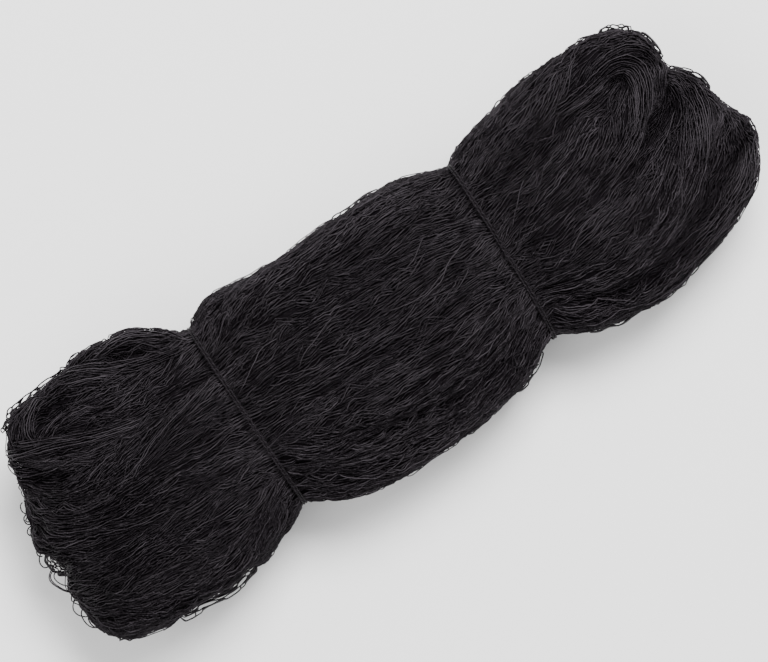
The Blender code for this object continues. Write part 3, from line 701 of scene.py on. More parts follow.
EDGES = (
    Edge("left_crown", ((-226, 65), (-225.3, 67.5), (-225.5, 72), (-223.8, 74.3), (-221.3, 76),
        (-219, 78), (-217, 80), (-215, 81.2), (-212, 81.6), (-208.5, 81.9), (-205, 82.5),
        (-201, 82.9), (-197, 82.6), (-192, 83.4), (-188, 83.8), (-184, 83.7), (-180, 83.5),
        (-177, 83.6), (-175.5, 84.7), (-171, 85.5)), 3.4, (((-224.4, 69.9), (-224.3, 73.6), 1.5),
        ((-221.9, 72.3), (-222.6, 74.1), 1.2), ((-222, 70.4), (-222.4, 71.7), 0.8),
        ((-219.3, 75.6), (-216.9, 76.5), 1.3), ((-218, 77.1), (-215.7, 78.1), 1.3), ((-216, 79.5),
        (-213, 80.8), 1.1), ((-214.9, 77.6), (-212.2, 78.9), 1.3), ((-212, 80.2), (-208.4, 80.8),
        1.0), ((-204.5, 80.5), (-200, 80.6), 0.8), ((-198.2, 81.1), (-195.3, 81.3), 1.2),
        ((-192.3, 82.3), (-183.8, 82.7), 1.1), ((-190.3, 80.8), (-187.8, 80.8), 1.0),
        ((-184, 80.3), (-182.1, 80), 0.9), ((-175.8, 84), (-172.9, 84.4), 1.1))),
    Edge("left_peak", ((-171, 85.5), (-168.5, 86.4), (-166, 87), (-163, 86.7), (-160, 85.7),
        (-155, 85.2), (-147, 84.3), (-140, 84), (-130, 82), (-125, 80), (-120, 77), (-115, 74),
        (-110, 69), (-105.5, 62.8), (-98, 61.5))),
    Edge("middle_brow", ((-98, 61.5), (-95, 64.2), (-90, 67), (-85, 69.8), (-80, 70.8),
        (-75, 71.8), (-70, 71.2), (-60, 69), (-50, 68.2), (-40, 68.3), (-30, 67), (-20, 67.3),
        (-10, 68.3), (0, 69.9), (5, 70.3))),
    Edge("middle_crown", ((5, 70.3), (9, 70.8), (11, 70.9), (15, 70.6), (22.7, 70.5), (25.5, 71),
        (29, 71.2), (32.7, 71.5), (36.4, 71.2), (40, 70.1), (45, 69.2)), 2.6, (((9, 69.5),
        (14, 69.7), 1.0), ((15, 69.3), (21.3, 68.3), 1.2), ((21.8, 69.1), (25.5, 69.3), 0.9),
        ((26.6, 69.6), (29.6, 69.7), 0.8), ((30, 68), (31.8, 68), 1.1), ((33, 69.7), (41.9, 68.6),
        1.2))),
    Edge("middle_slope", ((45, 69.2), (50, 68.3), (55, 67.1), (60, 65.3), (65, 63.5), (71, 61.2),
        (74.5, 59), (79, 57.7), (84, 57.8))),
    Edge("right_slope", ((84, 57.8), (86, 59.5), (89, 62), (93.4, 64.2), (97.9, 65.3), (110, 67.8),
        (120, 70.3))),
    Edge("right_brow", ((120, 70.3), (125, 72.3), (130, 73.8), (135, 74.9)), 2.2, (((127.8, 72.4),
        (133.4, 73.7), 0.9), ((122.6, 69.6), (124.6, 70.1), 0.8))),
    Edge("right_top", ((135, 74.9), (140, 75.4), (145, 76.1), (150, 76.3), (170, 76.4),
        (180, 77.3), (190, 77.9), (197.3, 77.9), (200.7, 76.6))),
    Edge("right_crown", ((200.7, 76.6), (205, 76.2), (210, 75.9), (213.3, 74.3), (217.3, 71.3),
        (220.7, 69), (222.3, 66.3), (222.9, 64.3)), 3.8, (((204.3, 73.6), (205.4, 73.3), 0.8),
        ((206, 74.6), (209.3, 73.9), 1.1), ((209.9, 75), (211.4, 74.5), 0.7), ((210.4, 71.5),
        (211.5, 70.4), 1.2), ((212, 74), (214.8, 70.9), 1.3), ((216, 71.4), (218.2, 70.2), 1.1),
        ((216.8, 68), (219.9, 67.2), 1.8), ((221.1, 68), (221.6, 65.3), 0.9))),
    Edge("right_cheek", ((222.9, 64.3), (225.3, 61.7), (227.3, 59), (228.3, 54.7), (229, 50),
        (229, 45.7), (228, 42.7), (226.7, 40), (225.4, 37.5)), 3.0, (((225.1, 58.2), (226, 56.7),
        0.7), ((226.7, 49.2), (227.2, 45.3), 1.2), ((227.1, 43.8), (227.2, 41.5), 0.6),
        ((226.1, 41), (225.2, 37.8), 1.1))),
    Edge("right_shoulder", ((225.4, 37.5), (225.7, 36.3), (228.7, 35), (232, 31.7), (234.7, 28.7),
        (237.3, 25.3), (239.3, 22.7), (241, 20), (241.7, 16.7), (241.7, 12), (241.3, 6.7)), 2.6,
        (((227.9, 34), (229.4, 31.6), 1.0), ((231.5, 27.7), (233, 26.3), 1.1), ((233.5, 29.2),
        (237.3, 24.8), 0.6), ((237.6, 22.9), (239.7, 19), 1.4), ((239.4, 13), (239.3, 11.8),
        0.9))),
    Edge("right_nose", ((241.3, 6.7), (242.3, 4.7), (242.5, 2.7), (242, 0.7), (242.3, -2.7)), 1.8,
        (((241.5, 5.3), (241.2, 1.2), 1.0),)),
    Edge("right_tip", ((242.3, -2.7), (243.7, -6), (245.3, -9), (247.7, -11.3), (249.3, -15.3),
        (250.1, -19.3), (250, -23.3), (249, -27.3), (247, -31.3), (244, -36.5), (240, -43.5),
        (235, -48.5), (230, -54), (225, -57.5), (220, -59), (215, -61), (210, -64), (205, -66.5),
        (200, -69.5))),
    Edge("right_keel", ((200, -69.5), (195, -70.9), (188, -72.6), (182, -73.9), (176, -75.3),
        (170, -76.9), (165, -78.1)), 1.6, (((199, -69), (194.6, -69.8), 1.0), ((187.5, -71.5),
        (185.5, -72), 0.7), ((174.8, -75), (166, -76.9), 0.7))),
    Edge("right_belly", ((165, -78.1), (157, -78.9), (151.6, -79.5), (147, -79.9), (141.6, -79.6),
        (136, -78.9))),
    Edge("right_heel", ((136, -78.9), (131.6, -78.6), (126, -78.5), (122.7, -78.9), (119.3, -79.1),
        (116, -78.4), (113.2, -77), (110.4, -75.7), (107, -75.5), (103.8, -75), (99.9, -72.8),
        (96, -70)), 2.2, (((134.8, -77.3), (128.8, -77.1), 0.9), ((120, -77.4), (115, -76.4), 1.5),
        ((108.8, -74.4), (101, -71.9), 0.7))),
    Edge("right_throat", ((96, -70), (90, -66), (85, -62.2), (80.5, -60.6), (75.9, -62),
        (72.6, -63.5))),
    Edge("middle_heel", ((72.6, -63.5), (70.5, -65.4), (68.8, -67.5), (66.8, -69.5), (64.7, -71.4),
        (62.2, -72.9), (59.7, -74), (57.2, -75), (55.1, -75.8), (53, -76.8), (51.3, -78.1),
        (48.8, -78.7), (45.9, -78.8), (42.6, -78.3), (40.5, -77.7)), 2.4, (((69.5, -65.8),
        (64.2, -70.3), 1.1), ((65, -69.9), (58, -73.5), 1.4), ((56.5, -73.3), (54.8, -74.2), 0.7),
        ((51.6, -76.9), (42.4, -77.3), 0.9))),
    Edge("middle_keel", ((40.5, -77.7), (35, -78), (30, -78.8), (25, -80), (20, -81.2), (15, -82),
        (0, -82.2), (-10, -82.2), (-20, -81.8), (-30, -82.5), (-37, -83.1), (-45, -82.3),
        (-55, -80.5), (-65, -78.5), (-70, -77.3), (-75, -76), (-80, -72.5), (-85, -68.5),
        (-90, -66.2), (-95, -63.8), (-98, -60.7))),
    Edge("left_throat", ((-98, -60.7), (-100, -62), (-105, -66), (-110, -69.5), (-115, -70.3),
        (-120, -71.6), (-125, -74), (-130, -76), (-135, -78.5), (-140, -80))),
    Edge("left_keel", ((-140, -80), (-142, -80.8), (-145, -81.6), (-150, -82.3), (-153, -83.3),
        (-156, -84.3), (-159, -85), (-162, -85.4), (-165, -85.3), (-169, -84.8), (-174, -83.9),
        (-177, -83.3), (-180, -82.9), (-183.5, -82.8), (-186, -83.4), (-189.5, -83.8),
        (-192.5, -83.5), (-195.5, -82.5), (-198, -80.8), (-200, -80)), 6.0, (((-147.8, -79),
        (-151.2, -79.2), 1.1), ((-151.2, -80.1), (-158.5, -82.1), 1.3), ((-154, -83),
        (-157.5, -83.6), 0.6), ((-158.8, -84), (-168.2, -84.1), 1.0), ((-164.2, -79.2),
        (-173.8, -79.4), 1.2), ((-174.8, -82.1), (-185, -79.7), 1.3), ((-184.8, -82.4),
        (-192, -81.6), 1.2), ((-189, -82.3), (-197.3, -80.8), 1.6), ((-185.5, -78.9),
        (-193.6, -78.1), 1.2), ((-194.8, -79.2), (-199.4, -78.9), 1.1))),
    Edge("left_heel", ((-200, -80), (-205, -78.8), (-212, -76.8), (-220, -75.5), (-225, -74.5),
        (-231, -72), (-235, -68), (-237.5, -64.5), (-240, -59.6), (-241.2, -55), (-241.7, -50.7),
        (-242.1, -45.7), (-242.3, -41.8), (-243, -35.7), (-243.6, -31), (-243.2, -27),
        (-242.6, -23))),
    Edge("left_end", ((-242.6, -23), (-243, -20.5), (-244.5, -17.5), (-246, -14), (-246.6, -10),
        (-246.7, -5), (-246.8, -2)), 6.6, (((-243.3, -7.6), (-243.3, -5.3), 1.2), ((-240.9, -10.7),
        (-240.9, -8.4), 1.4), ((-243.2, -11.4), (-243, -9.4), 1.4), ((-242.8, -12.5),
        (-242.8, -11.6), 1.0), ((-240.5, -13), (-240.7, -11.7), 1.1), ((-241.5, -15.5),
        (-241.7, -13.3), 1.6), ((-243.3, -15.3), (-243.2, -13.6), 1.2), ((-244.9, -17),
        (-244.2, -15.6), 1.2), ((-240.4, -17.4), (-240.8, -16.3), 1.0), ((-240.7, -19.4),
        (-240.2, -18.4), 0.9), ((-240.7, -21.4), (-240.6, -20.2), 0.9), ((-245, -9.4),
        (-244.7, -8.2), 0.7), ((-241.3, -4.4), (-241.1, -3.4), 0.7))),
    Edge("left_cheek", ((-246.8, -2), (-246, 1.5), (-245.2, 5), (-244.6, 9), (-243.6, 12),
        (-241.8, 15.7), (-241.2, 20), (-240.7, 25), (-238.9, 28.5), (-237.5, 29.9), (-234.2, 32),
        (-234.3, 40), (-233.5, 45), (-232.3, 50), (-230.5, 56), (-229.3, 60), (-227, 63.5),
        (-226, 65))),
)


@dataclass(frozen=True)
class Loop(Drawn):
    """A strand of slack net that stands off the hank's end, drawn in plan."""

    path: tuple


LOOPS = (
    Loop(((-238.1, 30.2), (-240.1, 29.6), (-240.9, 27.7), (-241.4, 25.4), (-240.2, 23.6))),
    Loop(((-240.2, 23), (-242.6, 22.2), (-243.4, 19.5), (-242.8, 17.4), (-240.8, 16.6))),
    Loop(((-240.6, 21.2), (-242.2, 20.4), (-242.4, 19), (-240.8, 18.2))),
    Loop(((-241, 15.8), (-244, 15.3), (-245.6, 13.8), (-245.6, 12.1), (-244.5, 10.2),
        (-243, 9.4))),
    Loop(((-244, 9), (-246.1, 6.8), (-246.2, 4.9), (-244.4, 3.8))),
    Loop(((-244.2, 3.4), (-246.9, 1.7), (-247.8, -0.4), (-247.3, -2.3), (-245.6, -3.2))),
    Loop(((-245.8, -1.4), (-248, -3), (-249, -5), (-249.3, -6.8), (-248.9, -9), (-247.8, -10),
        (-245.6, -10.3))),
    Loop(((-245.2, -12.6), (-248.1, -14.3), (-249.6, -16.2), (-250, -18.4), (-249.3, -21.2),
        (-247.9, -24.3), (-246, -27.9), (-243, -30.8))),
    Loop(((-245, -13.6), (-247.6, -14.9), (-248.8, -16.6), (-249.1, -18.5), (-248.4, -21.4),
        (-247, -24.6), (-245.1, -28.1), (-242.6, -30.2))),
    Loop(((-243.8, -15), (-246.1, -16.1), (-247, -18), (-246.6, -21), (-245, -24),
        (-242.2, -26.8))),
    Loop(((-242.6, -30.6), (-245, -33.4), (-245.9, -35), (-245, -35.9), (-242, -35.8))),
    Loop(((-243.6, -34.8), (-247, -37.9), (-247.9, -40.4), (-247.7, -42.6), (-246.7, -44.6),
        (-245.3, -46.2), (-243.7, -47.6), (-241.2, -47.9))),
    Loop(((-241.6, -41.6), (-244.5, -43.4), (-245.6, -45.4), (-246, -47.9), (-245.9, -50.7),
        (-245.1, -53.4), (-243.6, -55.4), (-240.8, -57))),
    Loop(((-241.4, -47), (-243.4, -49.2), (-243.8, -52), (-243.2, -55), (-240.6, -58))),
    Loop(((-245.3, -36.2), (-244, -38.4), (-241.6, -40.2))),
)


def unit(vectors: np.ndarray) -> np.ndarray:
    """Scale vectors to length one along the last axis, leaving empty ones alone."""
    return vectors / np.maximum(np.linalg.norm(vectors, axis=-1, keepdims=True), 1e-9)


def smoothstep(values: np.ndarray) -> np.ndarray:
    """Ease from 0 to 1 as values go from 0 to 1."""
    values = np.clip(values, 0, 1)
    return values * values * (3 - 2 * values)


def bell(away: np.ndarray, width: float) -> np.ndarray:
    """Ease from 1 to 0 as places go away from a line."""
    return np.exp(-((away / width) ** 2))


def tangential(vectors: np.ndarray, normals: np.ndarray) -> np.ndarray:
    """Lay directions flat on the surface that has these normals."""
    return unit(vectors - normals * (vectors * normals).sum(-1, keepdims=True))


def raised(plan: np.ndarray, level: float = 0.0) -> np.ndarray:
    """Give spots in plan a height."""
    return np.concatenate([plan, np.full((len(plan), 1), level)], axis=1)


def cut_corners(points: np.ndarray, rounds: int, closed: bool = False) -> np.ndarray:
    """Round a polyline by cutting its corners, which gives the curve of its spline.

    Args:
        points: Its corners, one a row.
        rounds: How often the corners are cut.
        closed: Whether the last corner joins the first.

    Returns:
        The rounded polyline. An open one keeps its two ends.
    """
    for _ in range(rounds):
        after = np.roll(points, -1, axis=0) if closed else points[1:]
        before = points if closed else points[:-1]
        cut = np.stack([before * 0.75 + after * 0.25, before * 0.25 + after * 0.75], axis=1)
        cut = cut.reshape(-1, points.shape[1])
        points = cut if closed else np.concatenate([points[:1], cut, points[-1:]])
    return points


def run_along(points: np.ndarray) -> np.ndarray:
    """Measure how far along their polylines points lie.

    Args:
        points: Stations and coordinates, with any axes before them.

    Returns:
        A length for each station, 0 at the first.
    """
    steps = np.linalg.norm(np.diff(points, axis=-2), axis=-1)
    start = np.zeros((*steps.shape[:-1], 1))
    return np.concatenate([start, np.cumsum(steps, axis=-1)], axis=-1)


def spaced(points: np.ndarray, count: int) -> np.ndarray:
    """Walk a polyline in even steps, measured by its first three columns.

    Args:
        points: The polyline, one corner a row.
        count: How many points to give.

    Returns:
        Points with as many columns as the polyline's.
    """
    along = run_along(points[:, :3])
    wanted = np.linspace(0, along[-1], count)
    return np.stack([np.interp(wanted, along, column) for column in points.T], axis=1)


def length_of(points: np.ndarray) -> float:
    """Length of a polyline."""
    return float(np.linalg.norm(np.diff(points[:, :3], axis=0), axis=1).sum())


def leg_distance(places: np.ndarray, start: np.ndarray, end: np.ndarray) -> tuple:
    """Measure how far places are from one straight leg of a polyline.

    Args:
        places: Places, with as many coordinates as the leg's ends.
        start: Where the leg begins.
        end: Where it ends.

    Returns:
        The distances, and how far along the leg its nearest point is, from 0 to 1.
    """
    leg = end - start
    share = np.clip((places - start) @ leg / (leg @ leg), 0, 1)
    return np.linalg.norm(places - start - share[:, None] * leg, axis=1), share


def path_distance(places: np.ndarray, path: np.ndarray) -> tuple:
    """Measure how far places are from a polyline, with its direction there.

    Args:
        places: Places, with as many coordinates as the polyline's.
        path: The polyline.

    Returns:
        The distances, and the polyline's unit direction nearest to each place.
    """
    best = np.full(len(places), np.inf)
    way = np.zeros(places.shape)
    for start, end in zip(path[:-1], path[1:]):
        away = leg_distance(places, start, end)[0]
        nearer = away < best
        best[nearer] = away[nearer]
        way[nearer] = (end - start) / np.linalg.norm(end - start)
    return best, way


def blurred(values: np.ndarray, rounds: int) -> np.ndarray:
    """Even out a grid of values with its neighbours along the three axes.

    Args:
        values: The grid, with its channels last.
        rounds: How often it is evened out.

    Returns:
        A grid of the same shape.
    """
    for _ in range(rounds):
        for axis in range(3):
            edge = [(0, 0)] * values.ndim
            edge[axis] = (1, 1)
            wide = np.pad(values, edge, mode="edge")
            count = values.shape[axis]
            before, here, after = (np.take(wide, range(s, s + count), axis=axis) for s in range(3))
            values = (before + here * 2 + after) / 4
    return values


def cell_corners(share: np.ndarray) -> Iterator[tuple]:
    """Go round the eight corners of each place's cell.

    Args:
        share: Where each place is in its cell, from 0 to 1 along each axis.

    Yields:
        A corner as three steps of 0 or 1, and how much it counts at each place.
    """
    for i, j, k in product((0, 1), repeat=3):
        weight = np.abs(1 - i - share[..., 0]) * np.abs(1 - j - share[..., 1])
        yield (i, j, k), (weight * np.abs(1 - k - share[..., 2]))[..., None]


@dataclass
class Grid:
    """Values on an even grid of points, read in between by linear blending."""

    low: np.ndarray
    step: float
    values: np.ndarray  # x, y, z and channel

    def places(self) -> np.ndarray:
        """List the grid's own points.

        Returns:
            The points, in the order of the grid's values.
        """
        ends = zip(self.low, self.values.shape)
        axes = [low + self.step * np.arange(count) for low, count in ends]
        return np.stack(np.meshgrid(*axes, indexing="ij"), axis=-1).reshape(-1, 3)

    def flat(self) -> np.ndarray:
        """The values in the order of the grid's points, one column a channel."""
        return self.values.reshape(-1, self.values.shape[3])

    def read(self, points: np.ndarray) -> np.ndarray:
        """Blend the channels between the eight corners round each point.

        Args:
            points: Places, with their coordinates along the last axis.

        Returns:
            The channels along the last axis.
        """
        shape = np.array(self.values.shape[:3])
        place = np.clip((points - self.low) / self.step, 0, shape - 1.001)
        corner = place.astype(np.int64)
        share = (place - corner).astype(np.float32)
        flat = self.flat()
        rows = (shape[1] * shape[2], shape[2], 1)
        first = corner @ np.array(rows)
        found = 0
        for (i, j, k), weight in cell_corners(share):
            found = found + flat[first + i * rows[0] + j * rows[1] + k] * weight
        return found


class Drift:
    """Smooth seeded noise through space, between -1 and 1."""

    CELLS = 24

    def __init__(self, seed: int, scale: float, channels: int = 1) -> None:
        """Keep a block of random values, repeated every way.

        Args:
            seed: What the values are drawn from.
            scale: Millimetres from one value to the next.
            channels: How many values each place has.
        """
        draw = np.random.default_rng(seed)
        self.scale = scale
        self.block = draw.uniform(-1, 1, (self.CELLS,) * 3 + (channels,)).astype(np.float32)

    def __call__(self, points: np.ndarray) -> np.ndarray:
        """Read the noise at places.

        Args:
            points: Places, with their coordinates along the last axis.

        Returns:
            The noise, with its channels along the last axis.
        """
        place = points / self.scale
        corner = np.floor(place).astype(np.int64)
        share = smoothstep(place - corner).astype(np.float32)
        found = 0
        for steps, weight in cell_corners(share):
            index = (corner + steps) % self.CELLS
            found = found + self.block[index[..., 0], index[..., 1], index[..., 2]] * weight
        return found


@dataclass
class Skin:
    """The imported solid's surface, which the twine lies on at a chosen height."""

    STEP = 2.5
    MARGIN = 16.0
    BLUR = 2
    FLOOR = 0.45  # middle of a strand that lies on the floor
    LUMP = 0.7  # how far the net's slow swells rise and sink
    LUMP_SCALE = 17.0
    LUMP_SEED = 5
    LUMP_EDGE = 8  # how far inside the outline the swells are full
    SOFT = 2.5  # how softly slack net joins the rest
    GROW = 1.5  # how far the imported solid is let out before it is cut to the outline
    GROW_EDGE = (4, 10)  # where letting out begins to end inside the outline, and how slowly
    SHARP = 0.6  # how softly it is cut
    EASE = 3.0  # over what length a slack edge comes and goes
    INSET = -0.2  # how far the skin lies inside the outline, for the twine on it
    FAR_INSIDE = 50.0  # what counts as the depth of places off the surface
    TIE_HALF = 1.8  # half the width of net that a tie holds down
    TIE_HEIGHT = -0.75
    TIE_RISE = 2.0  # how fast the net swells beside a tie
    MOST_MOVE = 6  # how far a place moves in one round of settling
    PLAN_LOW = (-264.0, -104.0, 0.0)  # corner of the sheet on which the outline is measured
    PLAN_COUNTS = (529, 209, 2)
    UPPER = (2.0, 0.3)  # how a surface's upward lean counts as the upper side

    solid: bpy.types.Mesh
    grid: Grid = field(init=False)

    def __post_init__(self) -> None:
        """Measure signed distances round the solid and add relief and painted light as channels."""
        merged = bmesh.new()
        merged.from_mesh(self.solid)
        bmesh.ops.remove_doubles(merged, verts=merged.verts, dist=SAME_PLACE)
        bmesh.ops.scale(merged, vec=(1 / MM,) * 3, verts=merged.verts)
        merged.normal_update()
        tree = BVHTree.FromBMesh(merged)
        corners = np.array([vert.co for vert in merged.verts])
        merged.free()
        low = corners.min(0) - self.MARGIN
        counts = np.ceil((corners.max(0) + self.MARGIN - low) / self.STEP).astype(int) + 1
        places = Grid(low, self.STEP, np.zeros((*counts, 1), np.float32)).places()
        away = self.filled(places, self.signed(tree, places))
        inner = self.inner(places, away)
        away = self.trimmed(away, inner)
        away = blurred(away.reshape(*counts, 1), self.BLUR)
        slope = np.stack(np.gradient(away[..., 0], self.STEP), axis=-1)
        upper = smoothstep(unit(slope.reshape(-1, 3))[:, 2] * self.UPPER[0] + self.UPPER[1])
        relief = self.relief(places, upper, inner).reshape(*counts, 1)
        shade = self.shade(places, upper).reshape(*counts, 1)
        values = np.concatenate([away, slope, relief, shade], axis=-1)
        self.grid = Grid(low, self.STEP, values.astype(np.float32))

    @staticmethod
    def signed(tree: BVHTree, places: np.ndarray) -> np.ndarray:
        """Measure how far places are from the solid.

        Args:
            tree: The solid's faces.
            places: Places, one a row.

        Returns:
            The distances, less than 0 inside.
        """
        away = np.empty(len(places), np.float32)
        for index, place in enumerate(places.tolist()):
            near, normal, _, distance = tree.find_nearest(place)
            inside = (place[0] - near[0]) * normal[0] + (place[1] - near[1]) * normal[1]
            inside += (place[2] - near[2]) * normal[2]
            away[index] = distance if inside >= 0 else -distance
        return away

    def filled(self, places: np.ndarray, away: np.ndarray) -> np.ndarray:
        """Join the rolls of slack net to the solid's distances, and let the pushes out.

        Args:
            places: Places, one a row.
            away: How far they are from the solid.

        Returns:
            How far they are from the filled solid.
        """
        for slack in SLACKS:
            path = slack.line()
            near = self.boxed(places, path, slack.radius + self.MARGIN)
            roll = path_distance(places[near], path)[0] - slack.radius
            away[near] = -self.SOFT * np.logaddexp(-away[near] / self.SOFT, -roll / self.SOFT)
        for push in PUSHES:
            path = push.line(0)
            near = self.boxed(places, path, 2.5 * push.width)
            away[near] -= push.height * bell(path_distance(places[near], path)[0], push.width)
        return away

    @staticmethod
    def boxed(places: np.ndarray, path: np.ndarray, reach: float) -> np.ndarray:
        """Tell which places are within reach of a line's box."""
        return ((places > path.min(0) - reach) & (places < path.max(0) + reach)).all(1)

    def inner(self, places: np.ndarray, away: np.ndarray) -> np.ndarray:
        """Measure how far places are inside the full net's outline, as it is seen.

        Args:
            places: Places, one a row.
            away: How far they are from the filled solid.

        Returns:
            The depths, measured only for places near the solid.
        """
        sheet = Grid(np.array(self.PLAN_LOW), 1.0, np.zeros((*self.PLAN_COUNTS, 1), np.float32))
        depth = self.depth_in_plan(sheet.places()[::2, :2])
        sheet.values[:] = depth.reshape(*self.PLAN_COUNTS[:2], 1, 1)
        found = np.full(len(places), self.FAR_INSIDE)
        near = np.abs(away) < self.MARGIN
        found[near] = sheet.read(raised(EYE.drawn(places[near])))[:, 0]
        return found

    def depth_in_plan(self, plan: np.ndarray) -> np.ndarray:
        """Measure how far drawn spots are inside the line where the full net begins.

        Args:
            plan: Spots, one a row.

        Returns:
            The depths, less than 0 outside the line.
        """
        best = np.full(len(plan), np.inf)
        slack = np.zeros(len(plan))
        inside = np.zeros(len(plan), bool)
        for edge in EDGES:
            path = edge.line(0)
            along = run_along(path)
            for index, (start, end) in enumerate(zip(path[:-1], path[1:])):
                away, share = leg_distance(plan, start, end)
                run = along[index] + share * (along[index + 1] - along[index])
                ease = smoothstep(np.minimum(run, along[-1] - run) / self.EASE)
                nearer = away < best
                best[nearer] = away[nearer]
                slack[nearer] = (edge.slack * ease)[nearer]
                if start[1] != end[1]:
                    leg = end - start
                    cross = start[0] + (plan[:, 1] - start[1]) * leg[0] / leg[1]
                    spans = (start[1] > plan[:, 1]) != (end[1] > plan[:, 1])
                    inside ^= spans & (plan[:, 0] < cross)
        return np.where(inside, best, -best) - slack

    def trimmed(self, away: np.ndarray, inner: np.ndarray) -> np.ndarray:
        """Let the solid out a little near its outline and cut it to where the full net begins.

        Args:
            away: How far places are from the filled solid.
            inner: How far they are inside the full net's outline.

        Returns:
            How far they are from the skin.
        """
        begins, slowly = self.GROW_EDGE
        grown = away - self.GROW * (1 - smoothstep((inner - begins) / slowly))
        cut = self.INSET - inner
        return self.SHARP * np.logaddexp(grown / self.SHARP, cut / self.SHARP)

    def relief(self, places: np.ndarray, upper: np.ndarray, inner: np.ndarray) -> np.ndarray:
        """Work out how far the net's outside rises or sinks: slow swells, and creases on top.

        Args:
            places: Places, one a row.
            upper: How far each is on the upper side, from 0 to 1.
            inner: How far each is inside the full net's outline.

        Returns:
            The rise at each place.
        """
        swell = Drift(self.LUMP_SEED, self.LUMP_SCALE)(places)[:, 0]
        height = swell * self.LUMP * smoothstep(inner / self.LUMP_EDGE)
        seen = EYE.drawn(places)
        for crease in CREASES:
            path = crease.line()
            near = self.around(seen, path, 4 * crease.width) & (upper > 0)
            away, _ = path_distance(seen[near], path)
            height[near] -= crease.depth * upper[near] * bell(away, crease.width)
        return height

    def shade(self, places: np.ndarray, upper: np.ndarray) -> np.ndarray:
        """Work out the painted light and shade: how much lighter or darker the upper side is made.

        Args:
            places: Places, one a row.
            upper: How far each is on the upper side, from 0 to 1.

        Returns:
            The painted change of tone at each place.
        """
        tone = np.zeros(len(places))
        seen = EYE.drawn(places)
        for shade in PAINTED_LIGHTS:
            path = shade.line()
            near = self.around(seen, path, 3 * shade.reach)
            away, _ = path_distance(seen[near], path)
            tone[near] += shade.tone * upper[near] * bell(away, shade.reach)
        return tone

    @staticmethod
    def around(seen: np.ndarray, path: np.ndarray, reach: float) -> np.ndarray:
        """Tell which drawn spots are within reach of a line's middle."""
        return (np.abs(seen - path.mean(0)) < np.ptp(path, axis=0) / 2 + reach).all(1)

    def outward(self, points: np.ndarray) -> np.ndarray:
        """The way out of the net at each point."""
        return unit(self.grid.read(points)[..., 1:4])

    def surface(self, points: np.ndarray) -> np.ndarray:
        """The places of the surface that are nearest to points."""
        read = self.grid.read(points)
        return points - unit(read[..., 1:4]) * read[..., :1]

    def near_surface(self) -> np.ndarray:
        """Which of the grid's cells the surface runs through."""
        return np.abs(self.grid.values[..., 0]) < self.grid.step * 0.55

    def allowed(self, points: np.ndarray, height: np.ndarray) -> np.ndarray:
        """Lower a wanted height to what a tie leaves beside it.

        Args:
            points: Places on the net.
            height: The wanted height at each.

        Returns:
            The heights that the ties allow.
        """
        beside = np.minimum(np.abs(LEFT_WAIST.beside(points)), np.abs(RIGHT_WAIST.beside(points)))
        cap = self.TIE_HEIGHT + self.TIE_RISE * np.maximum(beside - self.TIE_HALF, 0)
        return np.minimum(height, cap)

    def settle(self, points: np.ndarray, height: np.ndarray, rounds: int = 3) -> np.ndarray:
        """Move points in or out until they lie at a height above the creased skin.

        Args:
            points: Places near the surface.
            height: Wanted height at each of them.
            rounds: How often they are moved.

        Returns:
            The places they settle at, none under the floor.
        """
        points = np.array(points, float)
        for _ in range(rounds):
            read = self.grid.read(points)
            wanted = self.allowed(points, height + read[..., 4])
            gap = np.clip(wanted - read[..., 0], -self.MOST_MOVE, self.MOST_MOVE)
            points = points + unit(read[..., 1:4]) * gap[..., None]
        points[..., 2] = np.maximum(points[..., 2], self.FLOOR)
        return points

    def columns(self, plan: np.ndarray, step: float, lowest: float) -> tuple:
        """Look down through the net at drawn spots.

        Args:
            plan: Spots, one a row.
            step: How far apart the levels are that are looked at.
            lowest: The first level.

        Returns:
            The levels, and which of them are inside the net at each spot.
        """
        top = self.grid.low[2] + self.STEP * self.grid.values.shape[2]
        levels = np.arange(lowest, top, step)
        places = EYE.under(plan[:, None], np.broadcast_to(levels, (len(plan), len(levels))))
        return levels, self.grid.read(places)[..., 0] < 0

    def middle(self, plan: np.ndarray) -> np.ndarray:
        """Find the height of the net's middle under a line drawn in plan.

        Args:
            plan: The line's spots, one a row.

        Returns:
            A height for each spot, evened out along the line.
        """
        levels, inside = self.columns(plan, 2.0, 4.0)
        found = (inside * levels).sum(1) / np.maximum(inside.sum(1), 1)
        found = np.where(inside.any(1), found, EYE.target[2])
        return np.convolve(np.pad(found, 6, mode="edge"), np.ones(13) / 13, mode="valid")

    def drop(self, plan: np.ndarray) -> np.ndarray:
        """Drop a line drawn in plan onto the upper side of the net.

        Args:
            plan: The line's spots, one a row.

        Returns:
            The places where it comes to lie.
        """
        levels, inside = self.columns(plan, 1.0, 1.0)
        last = len(levels) - 1 - np.argmax(inside[:, ::-1], axis=1)
        return EYE.under(plan, np.where(inside.any(1), levels[last], EYE.target[2]))


